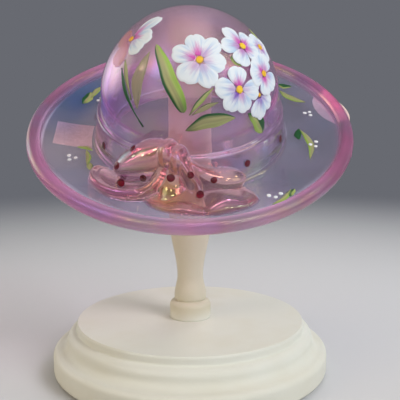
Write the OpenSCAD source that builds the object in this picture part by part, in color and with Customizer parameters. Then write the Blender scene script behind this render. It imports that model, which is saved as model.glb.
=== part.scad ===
// Pressed-glass hat with a moulded ribbon bow, resting on a turned wooden stand.
// Millimetres, +Z up. Origin: centre of the underside of the stand, on the spindle axis.
// The front of the hat, where the bow is, faces -Y.

/* [Base] */
// Thickness of the felt under the base
base_felt_t = 1.5; // [1:0.5:3]
// Distance from the edge of the base to the edge of its felt
base_felt_inset = 4; // [2:0.5:12]
// Diameter of the flat top of the base
base_top_d = 141; // [110:1:180]
// Height of the straight side above the felt
base_side_h = 10; // [8:0.5:16]
// Radius of the rounded nosing above the straight side
nosing_r = 3.5; // [2:0.25:6]
// Radius of the hollow of the moulding
cove_r = 5.5; // [3:0.25:9]
// Radius of the bulge of the moulding
ovolo_r = 5.5; // [3:0.25:9]
// Height of the upright fillet under the flat top
fillet_h = 5; // [3:0.25:9]

/* [Spindle] */
// Height of the spindle above the base
spindle_h = 182; // [165:1:220]
// Diameter of the foot bead
bead_d = 25.6; // [23:0.1:32]
// Height of the foot bead
bead_h = 11.3; // [9:0.1:14]
// Radius of the rounding on the foot bead
bead_round_r = 3.4; // [2:0.1:4]
// Diameter of the ring over the bead
ring_d = 19.8; // [18:0.1:22]
// Height of the ring over the bead
ring_rise = 3.4; // [2:0.1:6]
// Diameter of the waist
waist_d = 16; // [14:0.1:18]
// Height of the waist over the base
waist_h = 26.5; // [22:0.5:34]
// Diameter of the column that carries the hat
column_d = 26; // [22:0.5:32]
// Height over the base at which the flare reaches the column
flare_h = 62; // [50:1:90]

/* [Fastening] */
// Diameter of the screw that holds the spindle
screw_d = 5; // [4:0.5:6]
// Length of that screw under its head
screw_l = 45; // [35:1:60]
// Diameter of the screw's head
screw_head_d = 10; // [9:0.5:12]
// Height of the screw's head
screw_head_h = 3.5; // [2:0.25:5]
// Depth of the counterbore for the head
counterbore_h = 6; // [5.5:0.5:9]
// Radial clearance round the screw
screw_gap = 0.15; // [0.1:0.05:0.5]

/* [Rest] */
// Diameter of the felt disc between the spindle and the glass
rest_pad_d = 24; // [16:0.5:26]
// Thickness of that disc
rest_pad_t = 2; // [1:0.25:4]
// Gap between the disc's edge and the glass
rest_gap = 0.3; // [0.2:0.05:0.6]
// How far the hat leans forward
hat_tilt = 31; // [0:1:35]

/* [Crown] */
// Outer radius of the dome
crown_r = 53.5; // [48:0.5:60]
// Thickness of the glass in the dome
crown_wall = 4; // [3:0.25:6]
// How much wider the mouth is than the inside of the dome
mouth_draft = 2.5; // [0:0.25:3]
// Drop from the dome's centre to the top of the ribbon band
band_drop = 5; // [3:0.5:8]
// Height of the ribbon band
band_h = 20; // [14:0.5:26]
// How far the band stands out from the crown
band_proud = 3; // [2:0.25:5]
// How much the band flares towards the brim
band_flare = 2.5; // [0:0.25:5]
// Radius of the roll on the band's upper edge
band_roll_r = 1.4; // [0.8:0.1:2]

/* [Brim] */
// Outer radius of the brim
brim_r = 100; // [96:0.5:115]
// Thickness of the brim
brim_t = 4.5; // [3.5:0.25:6]
// Rise of the brim from the band to the lip
brim_rise = 6.5; // [2:0.5:12]
// Curvature of the brim, where 1 is a straight cone
brim_curve = 1.5; // [1:0.1:2.5]
// Radius of the rolled lip
lip_r = 4.25; // [3.5:0.25:5.5]
// How far the lip's centre lies below the brim's edge
lip_drop = 1.5; // [0.5:0.25:2]

/* [Bow] */
// Turn of the bow from the front of the hat
bow_turn = 0; // [-20:1:20]
// Plumpness of the bow's ribbons
bow_plump = 1; // [0.85:0.05:1.15]

/* [Enamel and paper] */
// Thickness of one coat of enamel
enamel_t = 0.35; // [0.2:0.05:0.6]
// Gap between the enamel and the glass
enamel_gap = 0.05; // [0.02:0.01:0.2]
// Radius of a flower's yellow eye
eye_r = 2; // [1.5:0.1:2.5]
// Radius of a white dot
white_dot_r = 1.2; // [0.8:0.1:1.6]
// Radius of a dot on the ribbon
ribbon_dot_r = 2; // [1.2:0.1:2.6]
// Thickness of the paper labels
label_t = 0.25; // [0.15:0.05:0.5]
// Side of the square label, along the brim's radius
square_label_w = 24; // [14:0.5:26]
// Side of the square label, along the rim
square_label_l = 25; // [14:0.5:28]
// Width of the oval label, along the brim's radius
oval_label_w = 20; // [12:0.5:22]
// Length of the oval label, along the rim
oval_label_l = 38; // [26:0.5:44]

/* [Hidden] */
$fn = 64;

// Stand heights
base_bottom_z = base_felt_t;
base_h = base_side_h + nosing_r + cove_r + ovolo_r + fillet_h;
base_top_z = base_bottom_z + base_h;
base_r = base_top_d / 2 + ovolo_r + cove_r + nosing_r;
spindle_top_z = base_top_z + spindle_h;
screw_seat_z = base_bottom_z + counterbore_h;
screw_tip_room = 2;
ring_groove = 0.8;
column_chamfer = 1;

// Inside radius of the dome, and the dome's centre over the spindle
dome_in_r = crown_r - crown_wall;
pad_reach = sqrt(pow(dome_in_r - rest_gap, 2) - pow(rest_pad_d / 2, 2));
dome_z = spindle_top_z + rest_pad_t - pad_reach;

// Hat section, in the hat's own frame with the dome's centre at the origin
band_top_z = -band_drop;
band_top_r = crown_r + band_proud;
band_foot_z = band_top_z - band_h;
band_foot_r = band_top_r + band_flare;
band_fillet_r = 3;
lip_c_r = brim_r - lip_r;
lip_c_z = band_foot_z + brim_rise - lip_drop;
lip_in_a = 180 - asin(lip_drop / lip_r);
lip_in_r = lip_c_r + lip_r * cos(lip_in_a);
lip_under_a = 235;
lip_low_a = 270;
mouth_r = dome_in_r + mouth_draft;
mouth_round_r = 2.4;
brim_steps = 10;
dome_steps = 24;

function brim_z(r) =
    band_foot_z + brim_rise * pow(max(0, (r - band_foot_r) / (lip_in_r - band_foot_r)), brim_curve);
function brim_under_z(r) = brim_z(r) - brim_t;
function lerp(a, b, t) = a + (b - a) * t;
function down(points, drop) = [for (p = points) p - [0, drop]];
function reversed(points) = [for (i = [len(points) - 1:-1:0]) points[i]];
function arc(c, r, a0, a1, n) =
    [for (i = [0:n]) let (a = lerp(a0, a1, i / n)) [c[0] + r * cos(a), c[1] + r * sin(a)]];
function ease(t) = t * t * (3 - 2 * t);

// The underside from the lip's lowest line to the foot of the band
lip_steps = 24;
underside = concat(
    arc([lip_c_r, lip_c_z], lip_r, lip_low_a, lip_under_a, 6),
    [for (i = [1:brim_steps]) let (r = lerp(lip_in_r, band_foot_r, i / brim_steps)) [r, brim_under_z(r)]]
);

// A point of the hat at an azimuth from the front, a radius and a height
function at(az, r, z) = [r * sin(az), -r * cos(az), z];
// The outward direction at an azimuth and a latitude of the dome
function outward(az, lat) = [cos(lat) * sin(az), -cos(lat) * cos(az), sin(lat)];

// Stand

module base_felt() {
    color("#6f6a5c")
    cylinder(r = base_r - base_felt_inset, h = base_felt_t);
}

module stand_base() {
    top_r = base_top_d / 2;
    cove_z = base_h - fillet_h - ovolo_r;
    outline = concat(
        [[0, 0], [base_r, 0]],
        arc([base_r - nosing_r, base_side_h], nosing_r, 0, 90, 8),
        arc([base_r - nosing_r, cove_z], cove_r, 270, 180, 10),
        arc([top_r, cove_z], ovolo_r, 0, 90, 10),
        [[top_r, base_h], [0, base_h]]
    );
    color("#e9e4cf")
    translate([0, 0, base_bottom_z])
    difference() {
        rotate_extrude() polygon(outline);
        translate([0, 0, -1]) cylinder(d = screw_d + 2 * screw_gap, h = base_h + 2);
        translate([0, 0, -1]) cylinder(d = screw_head_d + 4 * screw_gap, h = counterbore_h + 1);
    }
}

module base_screw() {
    color("#b9b4a6")
    translate([0, 0, screw_seat_z]) {
        translate([0, 0, -screw_head_h]) cylinder(d = screw_head_d, h = screw_head_h);
        cylinder(d = screw_d, h = screw_l - screw_d);
        translate([0, 0, screw_l - screw_d]) cylinder(d1 = screw_d, d2 = screw_d / 4, h = screw_d);
    }
}

module spindle() {
    bead_r = bead_d / 2;
    ring_h = bead_h + ring_rise;
    neck_r = bead_r - bead_round_r;
    steps = 12;
    outline = concat(
        [[0, 0], [bead_r, 0]],
        arc([neck_r, bead_h - bead_round_r], bead_round_r, 0, 90, 8),
        [[ring_d / 2 - ring_groove, bead_h]],
        [for (i = [0:steps]) let (t = i / steps)
            [lerp(ring_d, waist_d, ease(t)) / 2, lerp(ring_h, waist_h, t)]],
        [for (i = [1:steps]) let (t = i / steps)
            [lerp(waist_d, column_d, ease(t)) / 2, lerp(waist_h, flare_h, t)]],
        [
            [column_d / 2, spindle_h - column_chamfer],
            [column_d / 2 - column_chamfer, spindle_h],
            [0, spindle_h]
        ]
    );
    bore_h = screw_seat_z + screw_l - base_top_z + screw_tip_room;
    color("#e4dfc8")
    translate([0, 0, base_top_z])
    difference() {
        rotate_extrude() polygon(outline);
        translate([0, 0, -1]) cylinder(d = screw_d + 2 * screw_gap, h = bore_h + 1);
    }
}

module rest_pad() {
    color("#d9d3c0")
    translate([0, 0, spindle_top_z]) cylinder(d = rest_pad_d, h = rest_pad_t);
}

// Hat

module hat_place() {
    translate([0, 0, dome_z]) rotate([hat_tilt, 0, 0]) children();
}

module hat_shell() {
    roll_z = band_top_z - band_roll_r;
    roll_in_r = band_top_r - band_roll_r;
    mouth_c = [mouth_r + mouth_round_r, brim_under_z(band_foot_r) + mouth_round_r];
    outline = concat(
        arc([0, 0], crown_r, 90, 0, dome_steps),
        [[crown_r, band_top_z]],
        arc([roll_in_r, roll_z], band_roll_r, 90, 0, 6),
        arc([band_foot_r + band_fillet_r, band_foot_z + band_fillet_r], band_fillet_r, 180, 255, 6),
        [for (i = [1:brim_steps]) let (r = lerp(band_foot_r + band_fillet_r, lip_in_r, i / brim_steps))
            [r, brim_z(r)]],
        arc([lip_c_r, lip_c_z], lip_r, lip_in_a, lip_low_a - 360, lip_steps),
        [for (i = [1:len(underside) - 1]) underside[i]],
        arc(mouth_c, mouth_round_r, 270, 180, 6),
        [for (i = [0:dome_steps]) let (a = 90 * i / dome_steps) dome_in_r * [cos(a), sin(a)]]
    );
    rotate_extrude($fn = 96) polygon(outline);
}

// The bow is one moulded relief with no undercut, as it leaves the press. It is seen from a core
// line inside the glass, where the band meets the brim: each ray from there ends on the outermost ribbon.

// Ribbons that run along the band, each a row of stations from left to right:
// [azimuth, out from the band, up from the brim, half width out, half height up, roll]
loop_left = [
    [-36.5, 7, 10.5, 1, 1, 0], [-35, 7, 11.5, 4.5, 3, 0], [-31.5, 6.5, 15, 8.5, 5.5, 0],
    [-27, 5.5, 18, 10, 8, 0], [-21, 4, 20.5, 10, 10, 0], [-16.5, 2.5, 22.5, 8, 9, 0],
    [-13.5, 1.5, 24.5, 5, 6.5, 0], [-11, 1, 26, 3, 4.5, 0]
];
loop_floor = [
    [-50, 8, 1, 2, 1, 8], [-46, 12, 2, 8, 2.6, 8], [-38, 13.5, 2.4, 10, 3, 10],
    [-29, 13, 2.8, 10.5, 3.2, 10], [-21, 10, 4, 8, 4, 8], [-14, 6, 8, 5, 4, 0]
];
loop_edge = [
    [-50, 9, 4, 1.4, 1.6, 0], [-47.5, 14, 4.4, 1.9, 2.2, 0], [-43, 19, 4.6, 2.1, 2.5, 0],
    [-38, 22, 4.6, 2.2, 2.6, 0], [-32, 23, 4.6, 2.2, 2.7, 0], [-26, 21.5, 5, 2.2, 2.7, 0],
    [-20.5, 18.5, 6.4, 2.2, 2.7, 0], [-16.8, 15.6, 9, 2.2, 2.6, 0], [-14.4, 12.6, 12.6, 2.1, 2.6, 0],
    [-12.8, 9.8, 17, 2, 2.6, 0], [-12, 7, 21, 1.9, 2.4, 0]
];
loop_right = [
    [-3, 2, 20, 2, 3, 0], [1, 2.6, 17.5, 2.4, 3.2, 0], [6, 3.4, 14, 3.4, 3.6, 0],
    [11, 4.8, 11.5, 5.2, 4.4, 0], [17, 6, 10.2, 6.8, 5, 0], [22.5, 6.4, 9.2, 6.2, 4.6, 0],
    [26, 6.4, 8.4, 3.8, 3, 0], [27.6, 6.4, 8, 1, 1, 0]
];
tail = [
    [-20, 10, 0.6, 4, 1, 8], [-14, 13, 1.6, 9, 2.4, 8], [-8, 15, 2, 11, 2.6, 10],
    [-2, 16, 3, 12, 3.6, 12], [6, 17, 1.8, 12.5, 2.2, 12], [14, 17.5, 3.2, 12.8, 4, 12],
    [21, 16.5, 2.2, 12.4, 2.6, 12], [25, 15.5, 2.2, 11, 2.4, 12], [27.6, 15, 1, 8.5, 1, 12]
];
ribbons_along = [loop_left, loop_floor, loop_edge, loop_right, tail];

// Ribbons that run down the front, each a row of stations from the top:
// [azimuth, out from the band, up from the brim, half width across, half depth]
knot_left = [
    [-11, 1, 29.5, 2.2, 2], [-10.9, 4.5, 30, 3, 2.9], [-10.8, 7, 27.2, 3.2, 3.3],
    [-10.7, 7.2, 23.5, 3, 3], [-10.7, 5, 21, 2.2, 2.2]
];
knot_right = [
    [-5.6, 1, 26.8, 2.2, 2], [-5.5, 4.6, 27.5, 3, 2.9], [-5.4, 7.8, 25.2, 3.2, 3.3],
    [-5.4, 8.2, 21.6, 3, 3], [-5.4, 6, 19, 2.2, 2.2]
];
strand_right = [
    [-4.2, 6, 26.5, 1.9, 1.9], [-2.6, 9, 23.2, 2, 2], [-0.6, 10.6, 19.4, 2, 2],
    [1.4, 11.2, 15.8, 1.9, 1.9], [3.2, 11, 12.6, 1.4, 1.4]
];
strand_mid = [
    [-8, 3, 20, 4.2, 2.6], [-8, 6, 14.5, 5.2, 2.8], [-8, 9.5, 9.8, 5.8, 2.6], [-8, 13.5, 6, 5.8, 2.2],
    [-8, 17, 4, 4.8, 1.6]
];
ribbons_down = [knot_left, knot_right, strand_right, strand_mid];

bow_az0 = -53;
bow_az1 = 32;
bow_cols = 85;
bow_rows = 44;
run_steps = 14;
draft_passes = 8;
draft_slope = 3;
soft_passes = 2;
core_in = 3.5;
core_r = band_foot_r - core_in;
core_z = band_foot_z - brim_t / 2;
// Rays go from along the brim to up inside the crown's wall
ray_a0 = 8;
ray_a1 = 97;
ray_crowd = 1.4;
ray_min = 2;

// A smooth curve through four neighbouring stations
function blend(a, b, c, d, t) =
    0.5 * (2 * b + (c - a) * t + (2 * a - 5 * b + 4 * c - d) * t * t + (3 * b - a - 3 * c + d) * t * t * t);
function smooth_at(s, i, t) = blend(s[max(i - 1, 0)], s[i], s[i + 1], s[min(i + 2, len(s) - 1)], t);
function stretch(s, az, i = 0) = i >= len(s) - 2 || az <= s[i + 1][0] ? i : stretch(s, az, i + 1);
function station_at(s, az) =
    let (i = stretch(s, az))
    smooth_at(s, i, (az - s[i][0]) / (s[i + 1][0] - s[i][0]));

// Centre of a station seen from the core line
function seen(s) = [s[1] + core_in, brim_z(band_foot_r + s[1]) + s[2] - core_z];

// Every ribbon's section in the upright plane at one azimuth, as ellipses [centre, half sizes, roll]
function sections_at(az) = concat(
    [for (s = ribbons_along) if (az >= s[0][0] && az <= s[len(s) - 1][0])
        let (q = station_at(s, az))
        [seen(q), bow_plump * [max(q[3], 0.1), max(q[4], 0.1)], q[5]]],
    [for (s = ribbons_down, k = [0:(len(s) - 1) * run_steps - 1])
        let (q = smooth_at(s, floor(k / run_steps), k / run_steps % 1),
            side = (az - q[0]) * PI / 180 * (band_foot_r + q[1]) / (q[3] * bow_plump))
        if (abs(side) < 1) [seen(q), bow_plump * q[4] * sqrt(1 - side * side) * [1, 1], 0]]
);

// Where a ray at angle a leaves an ellipse, or 0 if it misses
function leaves_at(e, a) =
    let (d = [cos(a - e[2]) / e[1][0], sin(a - e[2]) / e[1][1]],
        c = norm(e[0]),
        ca = atan2(e[0][1], e[0][0]) - e[2],
        o = [-c * cos(ca) / e[1][0], -c * sin(ca) / e[1][1]],
        q = (o * d) * (o * d) - (d * d) * (o * o - 1))
    q < 0 ? 0 : (sqrt(q) - o * d) / (d * d);

// Rays crowd together near the brim, where ribbons lie flat
function ray_angle(j) = lerp(ray_a0, ray_a1, pow(j / bow_rows, ray_crowd));
function column_az(i) = lerp(bow_az0, bow_az1, i / bow_cols);
column_width = (bow_az1 - bow_az0) / bow_cols * PI / 180 * band_foot_r;

// Fire-polished edges: each reach is averaged with its neighbours, pass after pass
function soften(g, passes) = passes == 0 ? g : soften(
    [for (i = [0:bow_cols]) [for (j = [0:bow_rows])
        let (a = g[max(i - 1, 0)], b = g[i], c = g[min(i + 1, bow_cols)],
            lo = max(j - 1, 0), hi = min(j + 1, bow_rows))
        (4 * b[j] + 2 * (a[j] + c[j] + b[lo] + b[hi]) + a[lo] + a[hi] + c[lo] + c[hi]) / 16]],
    passes - 1
);

// Sides given a mould's draft: no reach is shorter than its neighbours' less the draft between them
function drafted(g, passes) = passes == 0 ? g : drafted(
    [for (i = [0:bow_cols]) [for (j = [0:bow_rows])
        let (a = g[max(i - 1, 0)], b = g[i], c = g[min(i + 1, bow_cols)],
            lo = max(j - 1, 0), hi = min(j + 1, bow_rows),
            d = draft_slope * column_width,
            r = draft_slope * b[j] * PI / 180 * (ray_angle(hi) - ray_angle(lo)) / (hi - lo))
        max(b[j], max(a[j], c[j]) - d, max(b[lo], b[hi]) - r)]],
    passes - 1
);

module bow() {
    sharp = [for (i = [0:bow_cols])
        let (sections = sections_at(column_az(i)))
        [for (j = [0:bow_rows])
            max(concat([ray_min], [for (e = sections) leaves_at(e, ray_angle(j))]))]];
    reach = soften(drafted(sharp, draft_passes), soft_passes);
    points = [for (i = [0:bow_cols])
        each concat(
            [at(column_az(i), core_r, core_z)],
            [for (j = [0:bow_rows])
                let (a = ray_angle(j), d = reach[i][j])
                at(column_az(i), core_r + d * cos(a), core_z + d * sin(a))]
        )];
    n = bow_rows + 2;
    sides = [for (i = [0:bow_cols - 1], j = [0:n - 1])
        let (a = i * n + j, b = i * n + (j + 1) % n)
        each [[a, b, b + n], [a, b + n, a + n]]];
    far = bow_cols * n;
    caps = [for (j = [1:n - 2]) each [[0, j + 1, j], [far, far + j, far + j + 1]]];
    polyhedron(points, concat(sides, caps));
}

module hat_glass() {
    color("#d9a3c6", 0.6)
    hat_place() {
        hat_shell();
        rotate([0, 0, bow_turn]) bow();
    }
}

// Enamel flowers and leaves on the dome

// Places and sizes here are degrees seen from the dome's centre, so that the painting fits its dome.
// [azimuth, latitude, radius, spin, coat] of each flower
flower_angles = [
    [10, 51, 15.7, 18, 0], [35, 30, 13.5, 50, 1], [58, 51, 12.4, 5, 1], [61, 31, 11.9, 30, 2],
    [80, 42, 10.2, 60, 0], [50, 17, 6.4, 40, 0], [-72, 52, 14.1, 25, 0]
];
petals = 5;
petal_share = 0.44;
leaf_steps = 12;
leaf_skew = 0.8;

// [azimuth and latitude of the foot, azimuth and latitude of the tip, width] of each leaf
leaf_angles = [
    [[-4, 19], [-38, 59], 11.3], [[-3, 11], [36, 15], 9.1], [[0, 21], [16, 34], 3.6],
    [[4, 18.5], [22, 24], 3.9], [[-30, 9], [-60, 36], 4.3], [[-36, 18], [-43, 47], 8],
    [[50, 1], [41, 13], 7]
];

function on_dome_mm(angle) = crown_r * sin(angle);

module coat(level) {
    difference() {
        sphere(r = crown_r + enamel_gap + (level + 1) * enamel_t);
        sphere(r = crown_r + enamel_gap + level * enamel_t);
    }
}

// Stands its children on the dome, their Z outwards
module on_dome(az, lat, spin) {
    rotate([0, 0, az]) rotate([90 - lat, 0, 0]) rotate([0, 0, spin])
    translate([0, 0, crown_r / 2]) children();
}

module flower_petals() {
    color("#dfe6ee")
    hat_place()
    for (f = flower_angles) {
        flower_r = on_dome_mm(f[2]);
        petal_r = flower_r * petal_share;
        intersection() {
            coat(f[4]);
            on_dome(f[0], f[1], f[3]) linear_extrude(crown_r)
            difference() {
                for (i = [0:petals - 1])
                    rotate(i * 360 / petals) translate([flower_r - petal_r, 0]) circle(r = petal_r);
                circle(r = eye_r + enamel_gap);
            }
        }
    }
}

module flower_eyes() {
    color("#f0d860")
    hat_place()
    for (f = flower_angles)
        intersection() {
            coat(f[4]);
            on_dome(f[0], f[1], f[3]) cylinder(r = eye_r, h = crown_r);
        }
}

// A blade pointed at both ends and widest nearer its foot
module leaf_outline(length, width) {
    edge = [for (i = [1:leaf_steps - 1]) let (u = i / leaf_steps)
        [length * (u - 0.5), width / 2 * sin(180 * pow(u, leaf_skew))]];
    last = len(edge) - 1;
    polygon(concat(
        [[-length / 2, 0]], [for (p = edge) [p[0], -p[1]]],
        [[length / 2, 0]], [for (i = [0:last]) edge[last - i]]
    ));
}

module crown_leaves() {
    color("#8a9a58")
    hat_place()
    for (l = leaf_angles) {
        foot = outward(l[0][0], l[0][1]);
        tip = outward(l[1][0], l[1][1]);
        z = (foot + tip) / norm(foot + tip);
        x = (tip - foot) / norm(tip - foot);
        y = cross(z, x);
        frame = [[x[0], y[0], z[0], 0], [x[1], y[1], z[1], 0], [x[2], y[2], z[2], 0], [0, 0, 0, 1]];
        intersection() {
            coat(0);
            multmatrix(frame)
            translate([0, 0, crown_r / 2])
            linear_extrude(crown_r) leaf_outline(crown_r * norm(tip - foot), on_dome_mm(l[2]));
        }
    }
}

// Enamel on the brim and the band

sprig_azimuths = [-165, -120, -66, 37, 76, 120, 165];
sprig_r = lerp(band_foot_r, lip_in_r, 0.46);
sprig_leans = [-40, 60];
sprig_leaf_l = 15;
sprig_leaf_w = 3.6;
sprig_leaf_gap = 1;
sprig_dot_out = 6;
sprig_dot_side = -2;
sprig_dot_step = 2.2;
ribbon_dot_azimuths = [-160, -125, -90, -58, 34, 66, 100, 135, 170];

// A thin skin of enamel over the brim, from the band's fillet to the lip
module brim_enamel() {
    top = [for (i = [0:brim_steps]) let (r = lerp(band_foot_r + band_fillet_r, lip_in_r, i / brim_steps))
        [r, brim_z(r)]];
    rotate_extrude($fn = 96)
    polygon(concat(down(top, -enamel_gap), reversed(down(top, -enamel_gap - enamel_t))));
}

// Stands its children over the brim, their X outwards
module on_brim(az, r) {
    rotate([0, 0, az - 90]) translate([r, 0, band_foot_z - brim_t]) children();
}

module brim_leaves() {
    color("#6f9a5c")
    hat_place()
    for (az = sprig_azimuths, lean = sprig_leans)
        intersection() {
            brim_enamel();
            on_brim(az, sprig_r)
            rotate([0, 0, 90 + lean])
            linear_extrude(brim_rise + 2 * brim_t)
            translate([sprig_leaf_l / 2 + sprig_leaf_gap, 0]) leaf_outline(sprig_leaf_l, sprig_leaf_w);
        }
}

module brim_dots() {
    color("#eef0f2")
    hat_place()
    for (az = sprig_azimuths, k = [-1:1])
        intersection() {
            brim_enamel();
            on_brim(az, sprig_r)
            translate([
                sprig_dot_out + (k == 0 ? sprig_dot_step : 0),
                sprig_dot_side + k * sprig_dot_step,
                0
            ])
            cylinder(r = white_dot_r, h = brim_rise + 2 * brim_t);
        }
}

module ribbon_dots() {
    face_top = [band_top_r, band_top_z - band_roll_r];
    face_foot = [band_foot_r, band_foot_z + band_fillet_r];
    color("#57262f")
    hat_place()
    for (az = ribbon_dot_azimuths)
        intersection() {
            rotate_extrude($fn = 96)
            polygon([
                face_top + [enamel_gap, 0], face_top + [enamel_gap + enamel_t, 0],
                face_foot + [enamel_gap + enamel_t, 0], face_foot + [enamel_gap, 0]
            ]);
            translate([0, 0, (face_top[1] + face_foot[1]) / 2])
            rotate([0, 0, az]) rotate([90, 0, 0]) cylinder(r = ribbon_dot_r, h = 2 * band_foot_r);
        }
}

// Blank paper labels under the brim

square_label_az = -88;
square_label_foot_r = band_foot_r + 1.5;
oval_label_az = 105;
oval_label_overhang = 5;
oval_steps = 48;

module square_label() {
    color("#d8c3c8")
    hat_place()
    intersection() {
        rotate_extrude($fn = 96)
        polygon(concat(down(underside, enamel_gap), reversed(down(underside, enamel_gap + label_t))));
        rotate([0, 0, square_label_az - 90])
        translate([square_label_foot_r, -square_label_l / 2, -brim_r])
        cube([square_label_w, square_label_l, brim_r]);
    }
}

// The oval label is stiff card: it lies on the brim at its inner edge and on the lip, and runs out past it
module oval_label() {
    inner_r = brim_r + oval_label_overhang - oval_label_w;
    lean = atan((brim_under_z(inner_r) - lip_c_z + lip_r) / (inner_r - lip_c_r));
    color("#d2b9bd")
    hat_place()
    rotate([0, 0, oval_label_az - 90])
    translate([lip_c_r, 0, lip_c_z])
    rotate([0, -lean, 0])
    translate([inner_r + oval_label_w / 2 - lip_c_r, 0, -lip_r - enamel_gap - label_t])
    linear_extrude(label_t)
    polygon([for (i = [0:oval_steps - 1]) let (a = 360 * i / oval_steps)
        [oval_label_w / 2 * cos(a), oval_label_l / 2 * sin(a)]]);
}

base_felt();
stand_base();
base_screw();
spindle();
rest_pad();
hat_glass();
flower_petals();
flower_eyes();
crown_leaves();
brim_leaves();
brim_dots();
ribbon_dots();
square_label();
oval_label();
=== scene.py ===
"""Looks of a pressed-glass hat with a moulded bow and painted flowers, on a turned wooden stand."""

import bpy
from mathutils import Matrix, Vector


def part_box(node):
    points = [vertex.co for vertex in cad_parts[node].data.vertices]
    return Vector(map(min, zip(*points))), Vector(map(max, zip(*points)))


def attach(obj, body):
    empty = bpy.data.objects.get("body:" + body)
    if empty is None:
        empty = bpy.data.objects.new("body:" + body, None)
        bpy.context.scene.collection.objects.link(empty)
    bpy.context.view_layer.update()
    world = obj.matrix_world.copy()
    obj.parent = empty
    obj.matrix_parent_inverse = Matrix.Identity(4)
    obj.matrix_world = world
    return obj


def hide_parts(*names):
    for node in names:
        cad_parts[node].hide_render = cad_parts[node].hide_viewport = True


bl_info = {
    "name": "Glass Hat on a Stand",
    "version": (1, 0, 0),
    "blender": (4, 5, 0),
    "location": "3D View > Sidebar > Glass Hat",
    "description": "Builds a pressed-glass hat with painted flowers on a turned wooden stand",
    "category": "Object",
}

import math

import bpy
import numpy as np
from bpy.props import FloatProperty, FloatVectorProperty, PointerProperty
from mathutils import Matrix, Vector

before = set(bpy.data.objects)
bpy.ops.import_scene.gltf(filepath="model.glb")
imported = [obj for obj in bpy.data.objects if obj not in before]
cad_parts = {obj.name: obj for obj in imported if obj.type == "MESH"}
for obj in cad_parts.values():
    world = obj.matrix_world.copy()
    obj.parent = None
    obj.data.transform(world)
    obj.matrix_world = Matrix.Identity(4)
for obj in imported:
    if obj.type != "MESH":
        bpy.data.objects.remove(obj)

MM = 0.001


def ink(red, green, blue):
    """A colour given in screen values from 0 to 255, as the linear values that shaders take."""
    def linear(value):
        share = value / 255
        return share / 12.92 if share <= 0.04045 else ((share + 0.055) / 1.055) ** 2.4

    return (linear(red), linear(green), linear(blue))


# Properties


def number(name, description, value, **more):
    return FloatProperty(name=name, description=description, default=value, **more)


def length(name, description, millimetres):
    return number(name, description, millimetres * MM, unit="LENGTH", precision=5)


def angle(name, description, degrees):
    return number(name, description, math.radians(degrees), subtype="ANGLE")


def power(name, description, watts):
    return number(name, description, watts, unit="POWER")


def colour(name, description, red, green, blue):
    return FloatVectorProperty(
        name=name, description=description, default=ink(red, green, blue), subtype="COLOR", min=0, max=1
    )


class HatSizes(bpy.types.PropertyGroup):
    """Sizes of the pressed-glass hat."""

    crown_radius: length("Crown radius", "Outer radius of the dome", 53.5)
    crown_wall: length("Crown wall", "Thickness of the glass in the dome", 4)
    mouth_draft: length("Mouth draft", "How much wider the mouth is than the inside of the dome", 2.5)
    mouth_round: length("Mouth rounding", "Radius of the rounding at the mouth", 2.4)
    band_drop: length("Band drop", "Drop from the dome's centre to the top of the ribbon band", 5)
    band_height: length("Band height", "Height of the ribbon band", 20)
    band_proud: length("Band proud", "How far the band stands out from the crown", 3)
    band_flare: length("Band flare", "How much the band flares towards the brim", 2.5)
    band_roll: length("Band roll", "Radius of the roll on the band's upper edge", 1.4)
    band_fillet: length("Band fillet", "Radius of the hollow between the band and the brim", 3)
    brim_radius: length("Brim radius", "Outer radius of the brim", 100)
    brim_thickness: length("Brim thickness", "Thickness of the brim", 4.5)
    brim_rise: length("Brim rise", "Rise of the brim from the band to the lip", 6.5)
    brim_curve: number("Brim curve", "Curvature of the brim, where 1 is a straight cone", 1.5)
    lip_radius: length("Lip radius", "Radius of the rolled lip", 4.25)
    lip_drop: length("Lip drop", "How far the lip's centre lies below the brim's edge", 1.5)
    rest_gap: length("Rest gap", "Gap between the edge of the rest pad and the glass", 0.3)
    tilt: angle("Tilt", "How far the hat leans forward", 31)


class StandSizes(bpy.types.PropertyGroup):
    """Sizes of the turned stand and its fittings."""

    base_top_radius: length("Base top radius", "Radius of the flat top of the base", 70.5)
    base_side: length("Base side", "Height of the straight side of the base", 10)
    nosing: length("Nosing", "Radius of the rounded nosing above the straight side", 3.5)
    cove: length("Cove", "Radius of the hollow of the moulding", 5.5)
    ovolo: length("Ovolo", "Radius of the bulge of the moulding", 5.5)
    fillet: length("Fillet", "Height of the upright fillet under the flat top", 5)
    bead_radius: length("Bead radius", "Radius of the foot bead of the spindle", 12.8)
    bead_height: length("Bead height", "Height of the foot bead", 11.3)
    bead_round: length("Bead rounding", "Radius of the rounding on the foot bead", 3.4)
    ring_radius: length("Ring radius", "Radius of the ring over the bead", 9.9)
    ring_rise: length("Ring rise", "Height of the ring over the bead", 3.4)
    ring_groove: length("Ring groove", "Depth of the groove under the ring", 0.8)
    waist_radius: length("Waist radius", "Radius of the waist", 8)
    waist_height: length("Waist height", "Height of the waist over the base", 26.5)
    column_radius: length("Column radius", "Radius of the column that carries the hat", 13)
    flare_height: length("Flare height", "Height at which the flare reaches the column", 62)
    screw_bore: length("Screw bore", "Radius of the bore for the screw", 2.65)
    counterbore: length("Counterbore", "Radius of the counterbore for the screw's head", 5.3)
    counterbore_depth: length("Counterbore depth", "Depth of that counterbore", 6)
    bore_depth: length("Bore depth", "Depth of the screw's bore in the spindle", 23.5)


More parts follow.
